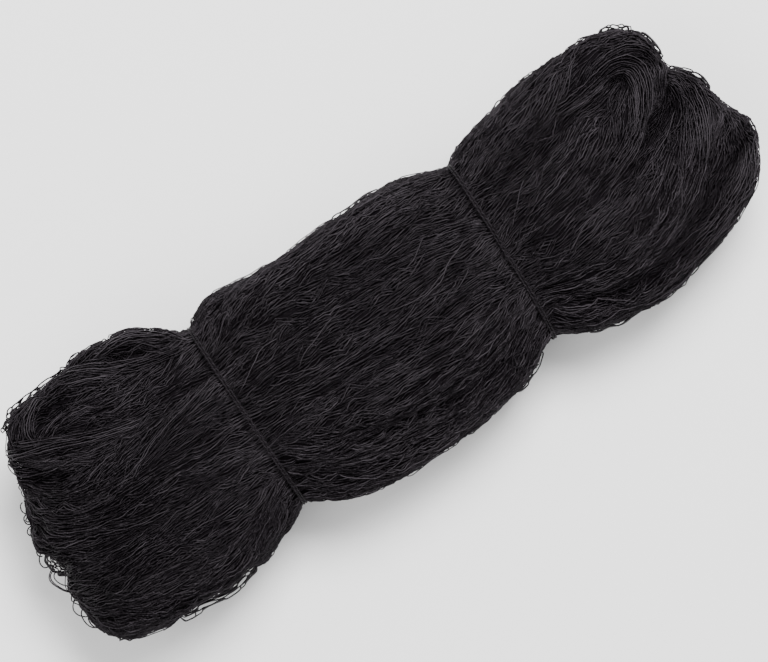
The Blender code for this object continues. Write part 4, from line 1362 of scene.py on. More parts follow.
class Flow:
    """The way that the twine runs at every place on the skin, as a line without a sign."""

    REACH = 9.0  # how far from the skin it is worked out
    SHARE = 1.8  # how softly one bundle gives way to the next
    STATION = 4.0
    COMB = 5  # how much a stroke counts on its line
    UPPER = (1.6, 0.25)
    WANDER = 0.13  # how far lines turn off the flow here and there, in radians
    ORDER = [0, 3, 4, 3, 1, 5, 4, 5, 2]  # of the six products, as a square block

    def __init__(self, skin: Skin) -> None:
        """Blend the bundles' directions, then comb the upper side along the strokes.

        Args:
            skin: What the twine lies on.
        """
        self.skin = skin
        self.wander = Drift(11, 22.0)
        values = skin.grid.values
        near = np.flatnonzero(np.abs(values[..., 0]).ravel() < self.REACH)
        places = skin.grid.places()[near]
        normals = unit(skin.grid.flat()[near, 1:4])
        spread = self.comb(places, normals, self.blended(places))
        block = np.zeros((values[..., 0].size, 6), np.float32)
        block[near] = spread
        block = blurred(block.reshape(*values.shape[:3], 6), 1)
        self.grid = Grid(skin.grid.low, skin.grid.step, block)

    def blended(self, places: np.ndarray) -> np.ndarray:
        """Blend the directions of the bundles that are nearest to places.

        Args:
            places: Places, one a row.

        Returns:
            The blended products of the directions.
        """
        gaps, ways = [], []
        for bundle in BUNDLES:
            line = cut_corners(np.array(bundle.stations(), float), 3)
            line[:, :3] += PACKED_SHIFT
            line = spaced(line, int(length_of(line) / self.STATION))
            tangent = unit(np.gradient(line[:, :3], axis=0))
            square = (places**2).sum(1)[:, None] + (line[:, :3] ** 2).sum(1)
            square = square - 2 * places @ line[:, :3].T
            away = np.sqrt(np.maximum(square, 0)) - line[:, 3]
            nearest = away.argmin(1)
            gaps.append(away[np.arange(len(places)), nearest])
            ways.append(tangent[nearest])
        gaps = np.stack(gaps)
        weights = np.exp(-(gaps - gaps.min(0)) / self.SHARE)
        weights /= weights.sum(0)
        return sum(self.outer(way) * weight[:, None] for way, weight in zip(ways, weights))

    @staticmethod
    def outer(way: np.ndarray) -> np.ndarray:
        """The six different products of a direction with itself."""
        x, y, z = way.T
        return np.stack([x * x, y * y, z * z, x * y, x * z, y * z], axis=1)

    def comb(self, places: np.ndarray, normals: np.ndarray, spread: np.ndarray) -> np.ndarray:
        """Turn the upper side's directions to the strokes drawn on it.

        Args:
            places: Places near the skin, one a row.
            normals: The way out of the net at each.
            spread: The blended products of the directions at each.

        Returns:
            The combed products.
        """
        drawn = np.zeros_like(spread)
        total = np.zeros(len(places))
        upper = smoothstep(normals[:, 2] * self.UPPER[0] + self.UPPER[1])
        seen = EYE.drawn(places)
        for stroke in STROKES:
            path = stroke.line()
            near = Skin.boxed(seen, path, 3 * stroke.reach) & (upper > 0)
            away, way = path_distance(seen[near], path)
            weight = bell(away, stroke.reach) * upper[near] * self.COMB
            flat = tangential(raised(way), normals[near])
            drawn[near] += self.outer(flat) * weight[:, None]
            total[near] += weight
        share = (1 - np.exp(-total))[:, None]
        return spread * (1 - share) + drawn / np.maximum(total, 1e-6)[:, None] * share

    @staticmethod
    def turned(spread: np.ndarray, way: np.ndarray) -> np.ndarray:
        """Multiply directions by the blended products, which draws them into line.

        Args:
            spread: The products.
            way: The directions.

        Returns:
            The directions, closer to the flow.
        """
        xx, yy, zz, xy, xz, yz = np.moveaxis(spread, -1, 0)
        x, y, z = np.moveaxis(way, -1, 0)
        rows = (xx * x + xy * y + xz * z, xy * x + yy * y + yz * z, xz * x + yz * y + zz * z)
        return np.stack(rows, axis=-1)

    def along(self, points: np.ndarray, way: np.ndarray, normals: np.ndarray) -> np.ndarray:
        """Find the direction of the twine at points.

        Args:
            points: Places on the skin.
            way: Directions, which tell the side that each answer points to.
            normals: The way out of the net at each point.

        Returns:
            The directions.
        """
        spread = self.grid.read(points)
        turned = way
        for _ in range(3):
            step = unit(self.turned(spread, turned))
            step = np.where(np.linalg.norm(step, axis=-1, keepdims=True) > 0.5, step, turned)
            turned = tangential(step, normals)
        return turned

    def trace(self, seeds: np.ndarray, count: int, stride: float, height: np.ndarray,
              sway: np.ndarray) -> np.ndarray:
        """Follow the flow both ways from each seed.

        Args:
            seeds: Places to start from, one a row.
            count: Steps each way.
            stride: Length of a step.
            height: Height of each line above the skin.
            sway: How far each line turns off the flow, in radians.

        Returns:
            The lines, as line, station and coordinate, with each seed in the middle.
        """
        start = self.skin.settle(seeds, height)
        block = self.grid.read(start)[:, self.ORDER].reshape(-1, 3, 3)
        first = tangential(np.linalg.eigh(block)[1][:, :, 2], self.skin.outward(start))
        halves = []
        for sign in (-1, 1):
            place, way, half = start, first * sign, []
            for _ in range(count):
                normals = self.skin.outward(place)
                way = self.along(place, way, normals)
                turn = (sway + self.WANDER * self.wander(place)[:, 0]) * sign
                aside = np.cross(normals, way)
                step = way * np.cos(turn)[:, None] + aside * np.sin(turn)[:, None]
                place = self.skin.settle(place + step * stride, height, rounds=2)
                half.append(place)
            halves.append(half)
        return np.stack(halves[0][::-1] + [start] + halves[1], axis=1)


@dataclass
class Strands:
    """A batch of strands of the same count of stations."""

    points: np.ndarray  # strand, station and coordinate
    normals: np.ndarray
    radius: np.ndarray  # strand and station
    tone: np.ndarray  # strand and station


class Nodes:
    """A material's nodes, each added with its values and with what it reads."""

    def __init__(self, name: str) -> None:
        """Start a material with its shader.

        Args:
            name: The material's name.
        """
        self.material = bpy.data.materials.new(name)
        self.material.use_nodes = True
        self.tree = self.material.node_tree
        self.shader = self.tree.nodes["Principled BSDF"]

    def fill(self, node: bpy.types.Node, inputs: dict) -> None:
        """Set a node's inputs, or link those that are given another node's output.

        Args:
            node: The node.
            inputs: Values or outputs, by the name or number of the input.
        """
        for key, value in inputs.items():
            if isinstance(value, bpy.types.NodeSocket):
                self.tree.links.new(value, node.inputs[key])
            else:
                node.inputs[key].default_value = value

    def add(self, kind: str, output: str, inputs: dict, **settings: object) -> bpy.types.NodeSocket:
        """Add one node.

        Args:
            kind: The node's kind, without the words that all kinds begin with.
            output: The name of the output that is wanted.
            inputs: Values or outputs, by the name or number of the input.
            **settings: The node's own settings.

        Returns:
            The output.
        """
        node = self.tree.nodes.new(f"ShaderNode{kind}")
        for key, value in settings.items():
            setattr(node, key, value)
        self.fill(node, inputs)
        return node.outputs[output]


@dataclass(frozen=True)
class TwineFinish:
    """Black plastic twine: from sunk and dark to loose and shiny by tone, partly painted light."""

    name: str
    # The colour at the lowest tone, darkened as painted shade.
    sunk: tuple
    # The colour at the highest tone, where the painted glints and sheen land.
    loose: tuple
    roughness: tuple = (0.38, 0.55)
    shine: float = 0.11
    grain: float = 0.00025
    mottle: float = 0.001
    speckle: float = 1.15
    tint: tuple = (1.0, 0.88, 1.0, 1)
    patch_scale: float = 45.0
    patch_share: float = 0.2
    tones: tuple = (0.09, 0.94)  # the lowest and the highest before the speckle
    bump: float = 0.35
    bump_depth: float = 0.0001

    def material(self) -> bpy.types.Material:
        """Make the material with its colour, roughness and grain from nodes.

        Returns:
            The material.
        """
        nodes = Nodes(self.name)
        place = nodes.add("TexCoord", "Object", {})
        # The tone differs at random and also carries painted light, shade, glints and sheen.
        tone = nodes.add("Attribute", "Fac", {}, attribute_name="tone")
        patches = self.noise(nodes, place, self.patch_scale, 3.0)
        blend = nodes.add("Math", "Value", {0: patches, 1: self.patch_share, 2: tone},
                          operation="MULTIPLY_ADD")
        mottle = self.noise(nodes, place, 1.0 / self.mottle, 1.0)
        speckled = nodes.add("Math", "Value", {0: mottle, 1: self.speckle, 2: blend},
                             operation="MULTIPLY_ADD")
        low, high = (tone + self.speckle / 2 for tone in self.tones)
        share = nodes.add("MapRange", "Result",
                          {"From Min": low, "From Max": high, "Value": speckled})
        colour = nodes.add("ValToRGB", "Color", {"Fac": share})
        # The ramp runs from the sunk colour, painted shade, to the loose colour, where painted
        # glints and sheen land.
        ends = colour.node.color_ramp.elements
        ends[0].color, ends[1].color = (*self.sunk, 1), (*self.loose, 1)
        fibres = self.noise(nodes, place, 1.0 / self.grain, 2.0)
        smooth, rough = self.roughness
        gloss = nodes.add("MapRange", "Result",
                          {"To Min": smooth, "To Max": rough, "Value": patches})
        bump = nodes.add("Bump", "Normal", {"Strength": self.bump, "Distance": self.bump_depth,
                                            "Height": fibres})
        nodes.fill(nodes.shader, {"Base Color": colour, "Roughness": gloss, "Normal": bump,
                                  "Specular IOR Level": self.shine, "Specular Tint": self.tint})
        return nodes.material

    @staticmethod
    def noise(nodes: Nodes, place: bpy.types.NodeSocket, scale: float,
              detail: float) -> bpy.types.NodeSocket:
        """Add a noise that sticks to the piece."""
        return nodes.add("TexNoise", "Fac", {"Scale": scale, "Detail": detail, "Vector": place})


def in_scene(name: str, data: bpy.types.ID) -> bpy.types.Object:
    """Make an object of some data and put it in the scene.

    Args:
        name: The object's name.
        data: Its mesh, lamp or camera.

    Returns:
        The object.
    """
    obj = bpy.data.objects.new(name, data)
    bpy.context.scene.collection.objects.link(obj)
    return obj


@dataclass
class TwinePiece:
    """One piece of the object, made of many strands joined as one mesh."""

    SIDES = 3
    MAPPED = True  # whether each strand has its own strip of a map
    MAP_NAME = "OFBake"
    SPARE_ROOM = 1.1  # how much larger the map is than what the strips fill

    name: str
    material: bpy.types.Material
    slot: str = "net"
    batches: list = field(default_factory=list)
    knots: list = field(default_factory=list)

    def add(self, strands: Strands) -> None:
        """Take a batch of strands into the piece."""
        if len(strands.points):
            self.batches.append(strands)

    def triangles(self) -> int:
        """Count how many triangles the piece comes to.

        Returns:
            The count.
        """
        caps = 2 * (self.SIDES - 2)
        tubes = sum(len(batch.points) * ((batch.points.shape[1] - 1) * 2 * self.SIDES + caps)
                    for batch in self.batches)
        return tubes + sum(len(KNOT_FACES) * len(knot[0]) for knot in self.knots)

    def rings(self, batch: Strands) -> np.ndarray:
        """Set the corners round each strand at each of its stations.

        Args:
            batch: The strands.

        Returns:
            The corners, as strand, station, corner and coordinate.
        """
        way = unit(np.gradient(batch.points, axis=1))
        side = unit(np.cross(way, batch.normals))
        up = np.cross(side, way)
        angle = np.arange(self.SIDES) * math.tau / self.SIDES
        spoke = up[:, :, None] * np.cos(angle)[:, None] + side[:, :, None] * np.sin(angle)[:, None]
        return batch.points[:, :, None] + spoke * batch.radius[:, :, None, None]

    def build(self) -> bpy.types.Object:
        """Join the strands and knots as one mesh with a tone on each point.

        Returns:
            The piece.
        """
        points, quads, caps, tones, cells = [], [], [], [], []
        first = 0
        here = np.arange(self.SIDES)
        after = (here + 1) % self.SIDES
        for batch in self.batches:
            count, stations = batch.points.shape[:2]
            points.append(self.rings(batch).reshape(-1, 3))
            tones.append(np.repeat(batch.tone.ravel(), self.SIDES))
            start = first + np.arange(count)[:, None] * stations * self.SIDES
            ring = start[..., None] + np.arange(stations - 1)[None, :, None] * self.SIDES
            quad = (ring + here, ring + after, ring + self.SIDES + after, ring + self.SIDES + here)
            quads.append(np.stack(quad, axis=-1).reshape(-1, 4))
            cells.append((count, stations))
            caps.append(start + (-here) % self.SIDES)
            caps.append(start + (stations - 1) * self.SIDES + here)
            first += count * stations * self.SIDES
        for corners, faces, tone in self.knots:
            points.append(corners.reshape(-1, 3))
            offset = first + np.arange(len(corners))[:, None, None] * corners.shape[1]
            caps.append((offset + faces).reshape(-1, 3))
            tones.append(np.repeat(tone, corners.shape[1]))
            first += len(corners) * corners.shape[1]
        mesh = self.joined(np.concatenate(points) * MM, np.concatenate(quads), np.concatenate(caps))
        # Each point's tone, which differs at random and carries the painted light, shade, glints
        # and sheen.
        tone = mesh.attributes.new("tone", "FLOAT", "POINT")
        tone.data.foreach_set("value", np.concatenate(tones).astype(np.float32))
        if self.MAPPED:
            self.lay_map(mesh, cells, sum(len(cap) for cap in caps))
        mesh.materials.append(self.material)
        obj = in_scene(self.name, mesh)
        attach(obj, "root")
        return obj

    def joined(self, points: np.ndarray, quads: np.ndarray, caps: np.ndarray) -> bpy.types.Mesh:
        """Make a smooth mesh.

        Args:
            points: Its corners, one a row.
            quads: Faces of four corners.
            caps: Faces that close the strands' ends, and the knots' faces.

        Returns:
            The mesh.
        """
        mesh = bpy.data.meshes.new(self.name)
        mesh.vertices.add(len(points))
        mesh.vertices.foreach_set("co", points.astype(np.float32).ravel())
        mesh.loops.add(quads.size + caps.size)
        loops = np.concatenate([quads.ravel(), caps.ravel()])
        mesh.loops.foreach_set("vertex_index", loops.astype(np.int32))
        mesh.polygons.add(len(quads) + len(caps))
        cap_starts = quads.size + np.arange(len(caps)) * caps.shape[1]
        starts = np.concatenate([np.arange(len(quads)) * 4, cap_starts])
        mesh.polygons.foreach_set("loop_start", starts.astype(np.int32))
        mesh.polygons.foreach_set("use_smooth", np.ones(len(starts), bool))
        mesh.update(calc_edges=True)
        return mesh

    def lay_map(self, mesh: bpy.types.Mesh, cells: list, extra: int) -> None:
        """Lay each strand as its own strip of a map, so that its colours can be kept.

        Args:
            mesh: The piece's mesh.
            cells: For each batch, how many strands it has and how many stations.
            extra: How many faces of three corners there are.
        """
        total = sum(count * (stations + 1) * self.SIDES for count, stations in cells)
        cell = 1 / math.sqrt(total * self.SPARE_ROOM + extra)
        corners, top = [], 0.0
        for count, stations in cells:
            columns = max(1, int(1 / (cell * (stations + 1))))
            index = np.arange(count)
            left = (index % columns)[:, None, None] / columns
            base = (top + (index // columns) * self.SIDES * cell)[:, None, None]
            along = np.arange(stations - 1)[None, :, None] * cell
            around = np.arange(self.SIDES)[None, None, :] * cell
            u, v = np.broadcast_arrays(left + along, base + around)
            box = ((u, v), (u, v + cell), (u + cell, v + cell), (u + cell, v))
            corners.append(np.stack([np.stack(spot, -1) for spot in box], axis=-2).reshape(-1, 2))
            top += math.ceil(count / columns) * self.SIDES * cell
        spare = np.array([(0, 0), (cell, 0), (0, cell)])
        row = np.arange(extra)
        across = max(1, int(1 / cell) - 1)
        spot = np.stack([(row % across) * cell, top + (row // across) * cell], axis=1)
        corners.append((spot[:, None] + spare).reshape(-1, 2))
        uv = np.concatenate(corners)
        layer = mesh.uv_layers.new(name=self.MAP_NAME, do_init=False)
        layer.uv.foreach_set("vector", (uv / max(uv.max(), 1)).astype(np.float32).ravel())


@dataclass
class RopePiece(TwinePiece):
    """A piece of twisted plies, rounder than the net's strands."""

    SIDES = 6
    MAPPED = False


KNOT_CORNERS = np.array([(1.0, 0, 0), (-1, 0, 0), (0, 1, 0), (0, -1, 0), (0, 0, 1), (0, 0, -1)])
KNOT_FACES = np.array([(0, 2, 4), (2, 1, 4), (1, 3, 4), (3, 0, 4),
                       (2, 0, 5), (1, 2, 5), (3, 1, 5), (0, 3, 5)])


@dataclass(frozen=True)
class Coat:
    """One of the layers of locks that cover the hank."""

    name: str
    seed: int
    height: float  # of a lock's edge above the skin
    crown: float  # how much higher its middle is
    strands: int
    spacing: float
    steps: int
    stride: float
    # Lowest and highest tone of a strand; the deeper coats' lower tones are painted shade.
    tone: tuple
    sway: float
    batch: int  # locks laid before the cover is looked at again
    fade: float  # over what length a strand's ends sink
    budget: int  # triangles
    knotted: bool = False


# The deeper coats get lower tones as painted shade; their twine is the same.
COATS = (
    Coat("under", 21, -2.0, 0.4, 8, 1.75, 9, 6.4, (0.05, 0.24), 0.09, 12, 8.0, 150000),
    Coat("middle", 22, -1.3, 0.5, 5, 1.75, 8, 3.2, (0.05, 0.34), 0.17, 20, 6.0, 265000),
    Coat("outer", 23, -0.5, 0.5, 3, 1.75, 6, 2.5, (0.05, 0.5), 0.24, 32, 4.5, 345000, True),
)


class Comber:
    """Lays locks of twine over the skin, along the flow."""

    WEAVE = (0.0, 0.28, 0.0, -0.28)  # how a strand swings, by shares of the pitch
    OPENING = (0.1, 0.8)  # how far the diamonds of a lock are pulled open
    TAPER = 0.25  # how much narrower a lock is at its ends
    SPREAD = 200  # how far apart strands read the noise
    ASIDE = (0.25, 0.25, 0.16)  # by the ruffle, the shiver and chance
    LIFT = (0.5, 0.8, 0.25, 0.2)  # by the ruffle, the shiver, chance by strand and by station
    THICKNESS = (0.8, 1.2)
    # Tones differ at random by lock; by station they stand for a painted sheen that changes as a
    # strand twists.
    TONE_LOCK, TONE_SPOT = 0.045, 0.05  # how much tones differ by lock and by station
    # Painted glints: a few strands and spots made lighter.
    PAINTED_GLINTS = ((0.3, 0.04), (0.45, 0.015))  # lighter strands and spots, each with how many
    # The shiver paints sheen, the patches differ at random, and the lift and the creases paint
    # light and shade by how high a strand lies.
    TONE_AND_PAINTED_LIGHT = (0.13, 0.1, 0.12, 0.1)  # by the shiver, the patches, the lift and the creases
    MEETING = (0.12, 0.45, 0.7)  # least swing, how many are tied, least depth inside the ends
    KNOT_SIZE = (0.95, 0.58, 0.52)
    # Knots are painted lighter than their strands, as a painted highlight.
    KNOT_PAINTED_HIGHLIGHT = 0.15
    TWINE = 0.42  # radius of a strand
    SLACK_TWINE = 0.44  # radius of a strand that stands off the net
    SLACK_PITCH = 0.62
    UNDER_LESS = 0.5  # how much thinner the coats are underneath
    SINK = 3.0  # how deep a strand's ends go
    UNDERSIDE = (-1.6, -0.6)  # how a surface's upward lean counts as underneath
    CHANCE = (0.3, 0.02)  # how much chance there is in where the coat counts as thinnest
    CANDIDATES = 1500  # of the thinnest places, to start locks from
    APART = 24.0  # how far the locks of a batch are from each other
    LOCK_WIDTH, LOCK_CROWN = (0.75, 1.2), (0.5, 1.4)
    LOCK_HEIGHT = 0.35  # how much the heights of locks differ
    SWEEP_TONE, SWEEP_FADE = (0.14, 0.62), 9.0
    SWEEP_STRIDE, STRAY_STRIDE, SCATTER_STRIDE = 2.8, 2.2, 2.4
    LOOSE_FADE = 7.0
    LOOSE_ASIDE = (0.7, 0.2)  # by the ruffle and the shiver
    LOOSE_LIFT = (1.3, 0.6)  # at rest, and by the ruffle
    LOOSE_SINK = 1.6
    STRAY_HEIGHT = 1.6
    LOOSE_THIN = 0.85
    SCATTER_STEPS = (6, 10)  # of the first half of the strewn strands, and of the rest
    SCATTER_SWAY = (0.1, 0.32)
    SCATTER_TONE = (0.35, 0.9)
    SLACK_STEP = 0.9
    SLACK_TONE = (0.1, 0.5)
    GAP_ENDS = 1.2  # how far past its ends a gap still parts strands, by half its length
    GAP_SHUT = 1.18  # from where on it is shut, by the same measure
    GAP_EASE = 0.12  # how far strands beyond a gap's side are moved on too
    ROW_APART = 9.0  # how far apart rows of slack net read the noise

    def __init__(self, skin: Skin, flow: Flow) -> None:
        """Keep what the locks lie on and the noise that ruffles them.

        Args:
            skin: What the twine lies on.
            flow: The way that it runs there.
        """
        self.skin = skin
        self.flow = flow
        self.ruffle = Drift(31, 8.0, 2)
        self.shiver = Drift(32, 3.0, 2)
        self.patch = Drift(33, 2.4)

    def lock(self, lines: np.ndarray, strands: int, width: np.ndarray, height: np.ndarray,
             crown: np.ndarray, tone: tuple, fade: float, draw: np.random.Generator) -> tuple:
        """Lay strands side by side along each guide line, as closed diamonds of mesh.

        Args:
            lines: Guide lines, as line, station and coordinate.
            strands: Strands to a lock.
            width: Width of each lock.
            height: Height of its edges above the skin.
            crown: How much higher its middle is.
            tone: Lowest and highest tone of a strand.
            fade: Over what length the ends go down into the net.
            draw: Where chance comes from.

        Returns:
            The strands, and the knots as places, frames and tones.
        """
        count, stations = lines.shape[:2]
        each = (count, strands, 1)
        normals = self.skin.outward(lines)
        way = unit(np.gradient(lines, axis=1))
        aside = unit(np.cross(normals, way))
        along = run_along(lines)
        width, height, crown = (value[:, None, None] for value in (width, height, crown))
        rank = (np.arange(strands) - (strands - 1) / 2) / max(strands / 2, 1)
        pitch = width / strands
        beat = np.arange(stations) + 2 * np.arange(strands)[:, None]
        beat = beat + draw.integers(4, size=(count, 1, 1))
        opening = draw.uniform(*self.OPENING, count)[:, None, None]
        weave = np.array(self.WEAVE)[beat % 4] * (pitch * opening)
        taper = 1 - self.TAPER * np.abs(np.linspace(-1, 1, stations))[None, None, :] ** 2
        offset = rank[None, :, None] * width / 2 * taper + weave
        spot = lines[:, None] + aside[:, None] * offset[..., None]
        private = draw.uniform(-self.SPREAD, self.SPREAD, (count, strands, 1, 3))
        ruffle = self.ruffle(spot + private * 0.02 + height[..., None] * 53)
        shiver = self.shiver(spot + private)
        jog = draw.normal(0, self.ASIDE[2], (*spot.shape[:3], 1))
        swing = self.ASIDE[0] * ruffle[..., :1] + self.ASIDE[1] * shiver[..., :1] + jog
        spot = spot + aside[:, None] * swing
        by_ruffle, by_shiver, by_strand, by_station = self.LIFT
        lift = height + crown * (1 - rank[None, :, None] ** 2)
        lift = lift + by_ruffle * ruffle[..., 1] + by_shiver * shiver[..., 1]
        lift = lift + draw.normal(0, by_strand, each)
        lift = lift + draw.normal(0, by_station, lift.shape)
        start = draw.uniform(0, fade, each)
        end = along[:, -1][:, None, None] - draw.uniform(0, fade, each)
        inner = np.minimum(along[:, None, :] - start, end - along[:, None, :]) / fade
        lift = lift - (lift + self.SINK) * (1 - smoothstep(inner))
        spot = self.skin.settle(spot, lift)
        radius = np.full(spot.shape[:3], self.TWINE) * draw.uniform(*self.THICKNESS, each)
        shade = self.lock_tone(tone, lift - height, spot, private, draw)
        flat = (count * strands, stations)
        out = Strands(spot.reshape(*flat, 3), np.repeat(normals, strands, axis=0),
                      radius.reshape(flat), shade.reshape(flat))
        swings, tied, deep = self.MEETING
        meets = (weave > pitch * swings) & (draw.random(weave.shape) < tied)
        meets[:, -1] = False
        meets &= inner > deep
        which = np.nonzero(meets)
        frames = np.stack([part[which[0], which[2]] for part in (way, aside, normals)], axis=1)
        return out, (spot[which], frames, shade[which])

    def lock_tone(self, tone: tuple, lift: np.ndarray, spot: np.ndarray, private: np.ndarray,
                  draw: np.random.Generator) -> np.ndarray:
        """Work out the tones of locks by strand, by station and by how they lie, partly painted
        light.

        Args:
            tone: Lowest and highest tone of a strand.
            lift: How high each place is above its lock's edges.
            spot: The strands' places.
            private: How far each strand reads the noise from itself.
            draw: Where chance comes from.

        Returns:
            A tone for each place, from 0 to 1.
        """
        each = (*lift.shape[:2], 1)
        (strand_glint, strand_few), (spot_glint, spot_few) = self.PAINTED_GLINTS
        by_shiver, by_patch, painted_light_by_lift, painted_light_by_relief = self.TONE_AND_PAINTED_LIGHT
        shade = tone[0] + (tone[1] - tone[0]) * draw.random(each) ** 2
        shade = shade + draw.normal(0, self.TONE_LOCK, (len(lift), 1, 1))
        # Painted glints on a few strands and spots, and a painted sheen that changes by station.
        shade = shade + strand_glint * (draw.random(each) < strand_few)
        shade = shade + draw.normal(0, self.TONE_SPOT, lift.shape)
        shade = shade + spot_glint * (draw.random(lift.shape) < spot_few)
        # Painted sheen by the shiver; the patches differ at random.
        shade = shade + by_shiver * self.shiver(spot * 0.7 - private)[..., 0]
        shade = shade + by_patch * self.patch(spot)[..., 0]
        # Painted light and shade: darker where a strand lies lower or in a crease, lighter on a
        # swell, plus the painted stretches of the upper side.
        read = self.skin.grid.read(spot)
        return np.clip(shade + painted_light_by_lift * lift + painted_light_by_relief * read[..., 4] + read[..., 5], 0, 1)

    def knots(self, found: tuple) -> tuple:
        """Shape the small knots where strands meet.

        Args:
            found: Their places, frames and tones.

        Returns:
            Their corners, the faces of one, and their tones.
        """
        here, frames, shade = found
        spokes = (KNOT_CORNERS * np.array(self.KNOT_SIZE)) @ frames
        # Each knot's tone gets the painted highlight.
        return here[:, None] + spokes, KNOT_FACES, np.clip(shade + self.KNOT_PAINTED_HIGHLIGHT, 0, 1)

    def cover(self, coat: Coat, pieces: dict) -> None:
        """Add locks where the coat is thinnest, until it is filled or at its budget.

        Args:
            coat: The coat.
            pieces: Its pieces, by lobe.
        """
        draw = np.random.default_rng(coat.seed)
        grid = self.skin.grid
        near = self.skin.near_surface()
        spots = grid.places()[near.ravel()]
        lean, least = self.UNDERSIDE
        under = smoothstep(lean * self.skin.outward(spots)[:, 2] + least)
        share = 1 - self.UNDER_LESS * under
        cover = np.zeros(grid.values.shape[:3], np.float32)
        spent = 0
        while spent < coat.budget:
            thin = blurred(cover[..., None], 2)[..., 0][near] / share
            chance = draw.uniform(0, self.CHANCE[0], len(thin))
            score = thin + chance * (thin.mean() + self.CHANCE[1])
            seeds = self.apart(spots[np.argsort(score)[: self.CANDIDATES]], coat.batch)
            count = len(seeds)
            height = coat.height + draw.uniform(-self.LOCK_HEIGHT, self.LOCK_HEIGHT, count)
            sway = draw.normal(0, coat.sway, count)
            lines = self.flow.trace(seeds, coat.steps, coat.stride, height, sway)
            width = coat.spacing * coat.strands * draw.uniform(*self.LOCK_WIDTH, count)
            crown = coat.crown * draw.uniform(*self.LOCK_CROWN, count)
            lobes = [Lobe.at(seed) for seed in seeds]
            for lobe, piece in pieces.items():
                part = np.array([index for index, other in enumerate(lobes) if other is lobe], int)
                if not len(part):
                    continue
                strands, found = self.lock(lines[part], coat.strands, width[part], height[part],
                                           crown[part], coat.tone, coat.fade, draw)
                piece.add(strands)
                if coat.knotted:
                    piece.knots.append(self.knots(found))
                spent += len(strands.points) * (strands.points.shape[1] - 1) * 6
                place = self.skin.surface(strands.points.reshape(-1, 3))
                place = ((place - grid.low) / grid.step).round().astype(int)
                place = np.clip(place, 0, np.array(cover.shape) - 1)
                np.add.at(cover, tuple(place.T), 1)
        log.info("coat %s: %d triangles, mean cover %.2f", coat.name, spent, thin.mean())

    def apart(self, spots: np.ndarray, most: int) -> np.ndarray:
        """Pick the first few spots that are well apart.

        Args:
            spots: Spots, the best first.
            most: How many to pick.

        Returns:
            The spots picked.
        """
        kept = [spots[0]]
        for spot in spots[1:]:
            if len(kept) == most:
                break
            if (np.abs(np.array(kept) - spot).max(1) > self.APART).all():
                kept.append(spot)
        return np.array(kept)

    def on_top(self, drawn: Drawn, stride: float, height: float) -> np.ndarray:
        """Lay a guide line on the upper side.

        Args:
            drawn: The row with its path in plan.
            stride: Length of a step.
            height: Height of the line above the skin.

        Returns:
            The line, as line, station and coordinate.
        """
        plan = spaced(raised(drawn.line(3)), 400)
        count = max(6, int(length_of(plan) / stride))
        line = self.skin.settle(self.skin.drop(plan), np.full(len(plan), height), rounds=4)
        return spaced(line, count)[None]

    def sweep(self, sweep: Sweep, piece: TwinePiece, draw: np.random.Generator) -> None:
        """Lay one full lock along its drawn path.

        Args:
            sweep: The row.
            piece: The piece that it goes into.
            draw: Where chance comes from.
        """
        sizes = (np.array([size]) for size in (sweep.width, sweep.lift, sweep.crown))
        line = self.on_top(sweep, self.SWEEP_STRIDE, sweep.lift)
        strands, found = self.lock(line, sweep.strands, *sizes, self.SWEEP_TONE,
                                   self.SWEEP_FADE, draw)
        piece.add(strands)
        piece.knots.append(self.knots(found))

    def stray(self, stray: Stray, piece: TwinePiece, draw: np.random.Generator) -> None:
        """Lay one loose strand along its drawn path, standing a little proud."""
        line = self.on_top(stray, self.STRAY_STRIDE, self.STRAY_HEIGHT)
        self.loose(line, np.array([[stray.tone]]), piece, draw)

    def loose(self, lines: np.ndarray, tone: np.ndarray, piece: TwinePiece,
              draw: np.random.Generator) -> None:
        """Lay loose strands along lines, their ends sunk in the net.

        Args:
            lines: The lines, as line, station and coordinate.
            tone: A tone for each, as a column.
            piece: The piece that they go into.
            draw: Where chance comes from.
        """
        along = run_along(lines)
        inner = np.minimum(along, along[:, -1:] - along) / self.LOOSE_FADE
        private = draw.uniform(-self.SPREAD, self.SPREAD, (len(lines), 1, 3))
        normals = self.skin.outward(lines)
        way = unit(np.gradient(lines, axis=1))
        aside = unit(np.cross(normals, way))
        ruffle, shiver = self.ruffle(lines + private), self.shiver(lines + private)
        by_ruffle, by_shiver = self.LOOSE_ASIDE
        spot = lines + aside * (by_ruffle * ruffle[..., :1] + by_shiver * shiver[..., :1])
        height = self.LOOSE_LIFT[0] + self.LOOSE_LIFT[1] * ruffle[..., 1]
        height = height - (height + self.LOOSE_SINK) * (1 - smoothstep(inner))
        spot = self.skin.settle(spot, height)
        radius = np.full(spot.shape[:2], self.TWINE * self.LOOSE_THIN)
        tone = np.clip(tone * draw.uniform(0.55, 1, radius.shape), 0, 1)
        piece.add(Strands(spot, normals, radius, tone))

    def scatter(self, count: int, piece: TwinePiece, draw: np.random.Generator) -> None:
        """Strew loose strands over the whole hank, off the way of the flow.

        Args:
            count: How many.
            piece: The piece that they go into.
            draw: Where chance comes from.
        """
        spots = self.skin.grid.places()[self.skin.near_surface().ravel()]
        seeds = spots[draw.choice(len(spots), count, replace=False)]
        sway = draw.uniform(*self.SCATTER_SWAY, count) * draw.choice((-1, 1), count)
        halves = (slice(0, count // 2), slice(count // 2, count))
        for steps, part in zip(self.SCATTER_STEPS, halves):
            height = np.full(len(seeds[part]), 1.0)
            lines = self.flow.trace(seeds[part], steps, self.SCATTER_STRIDE, height, sway[part])
            self.loose(lines, draw.uniform(*self.SCATTER_TONE, (len(lines), 1)), piece, draw)

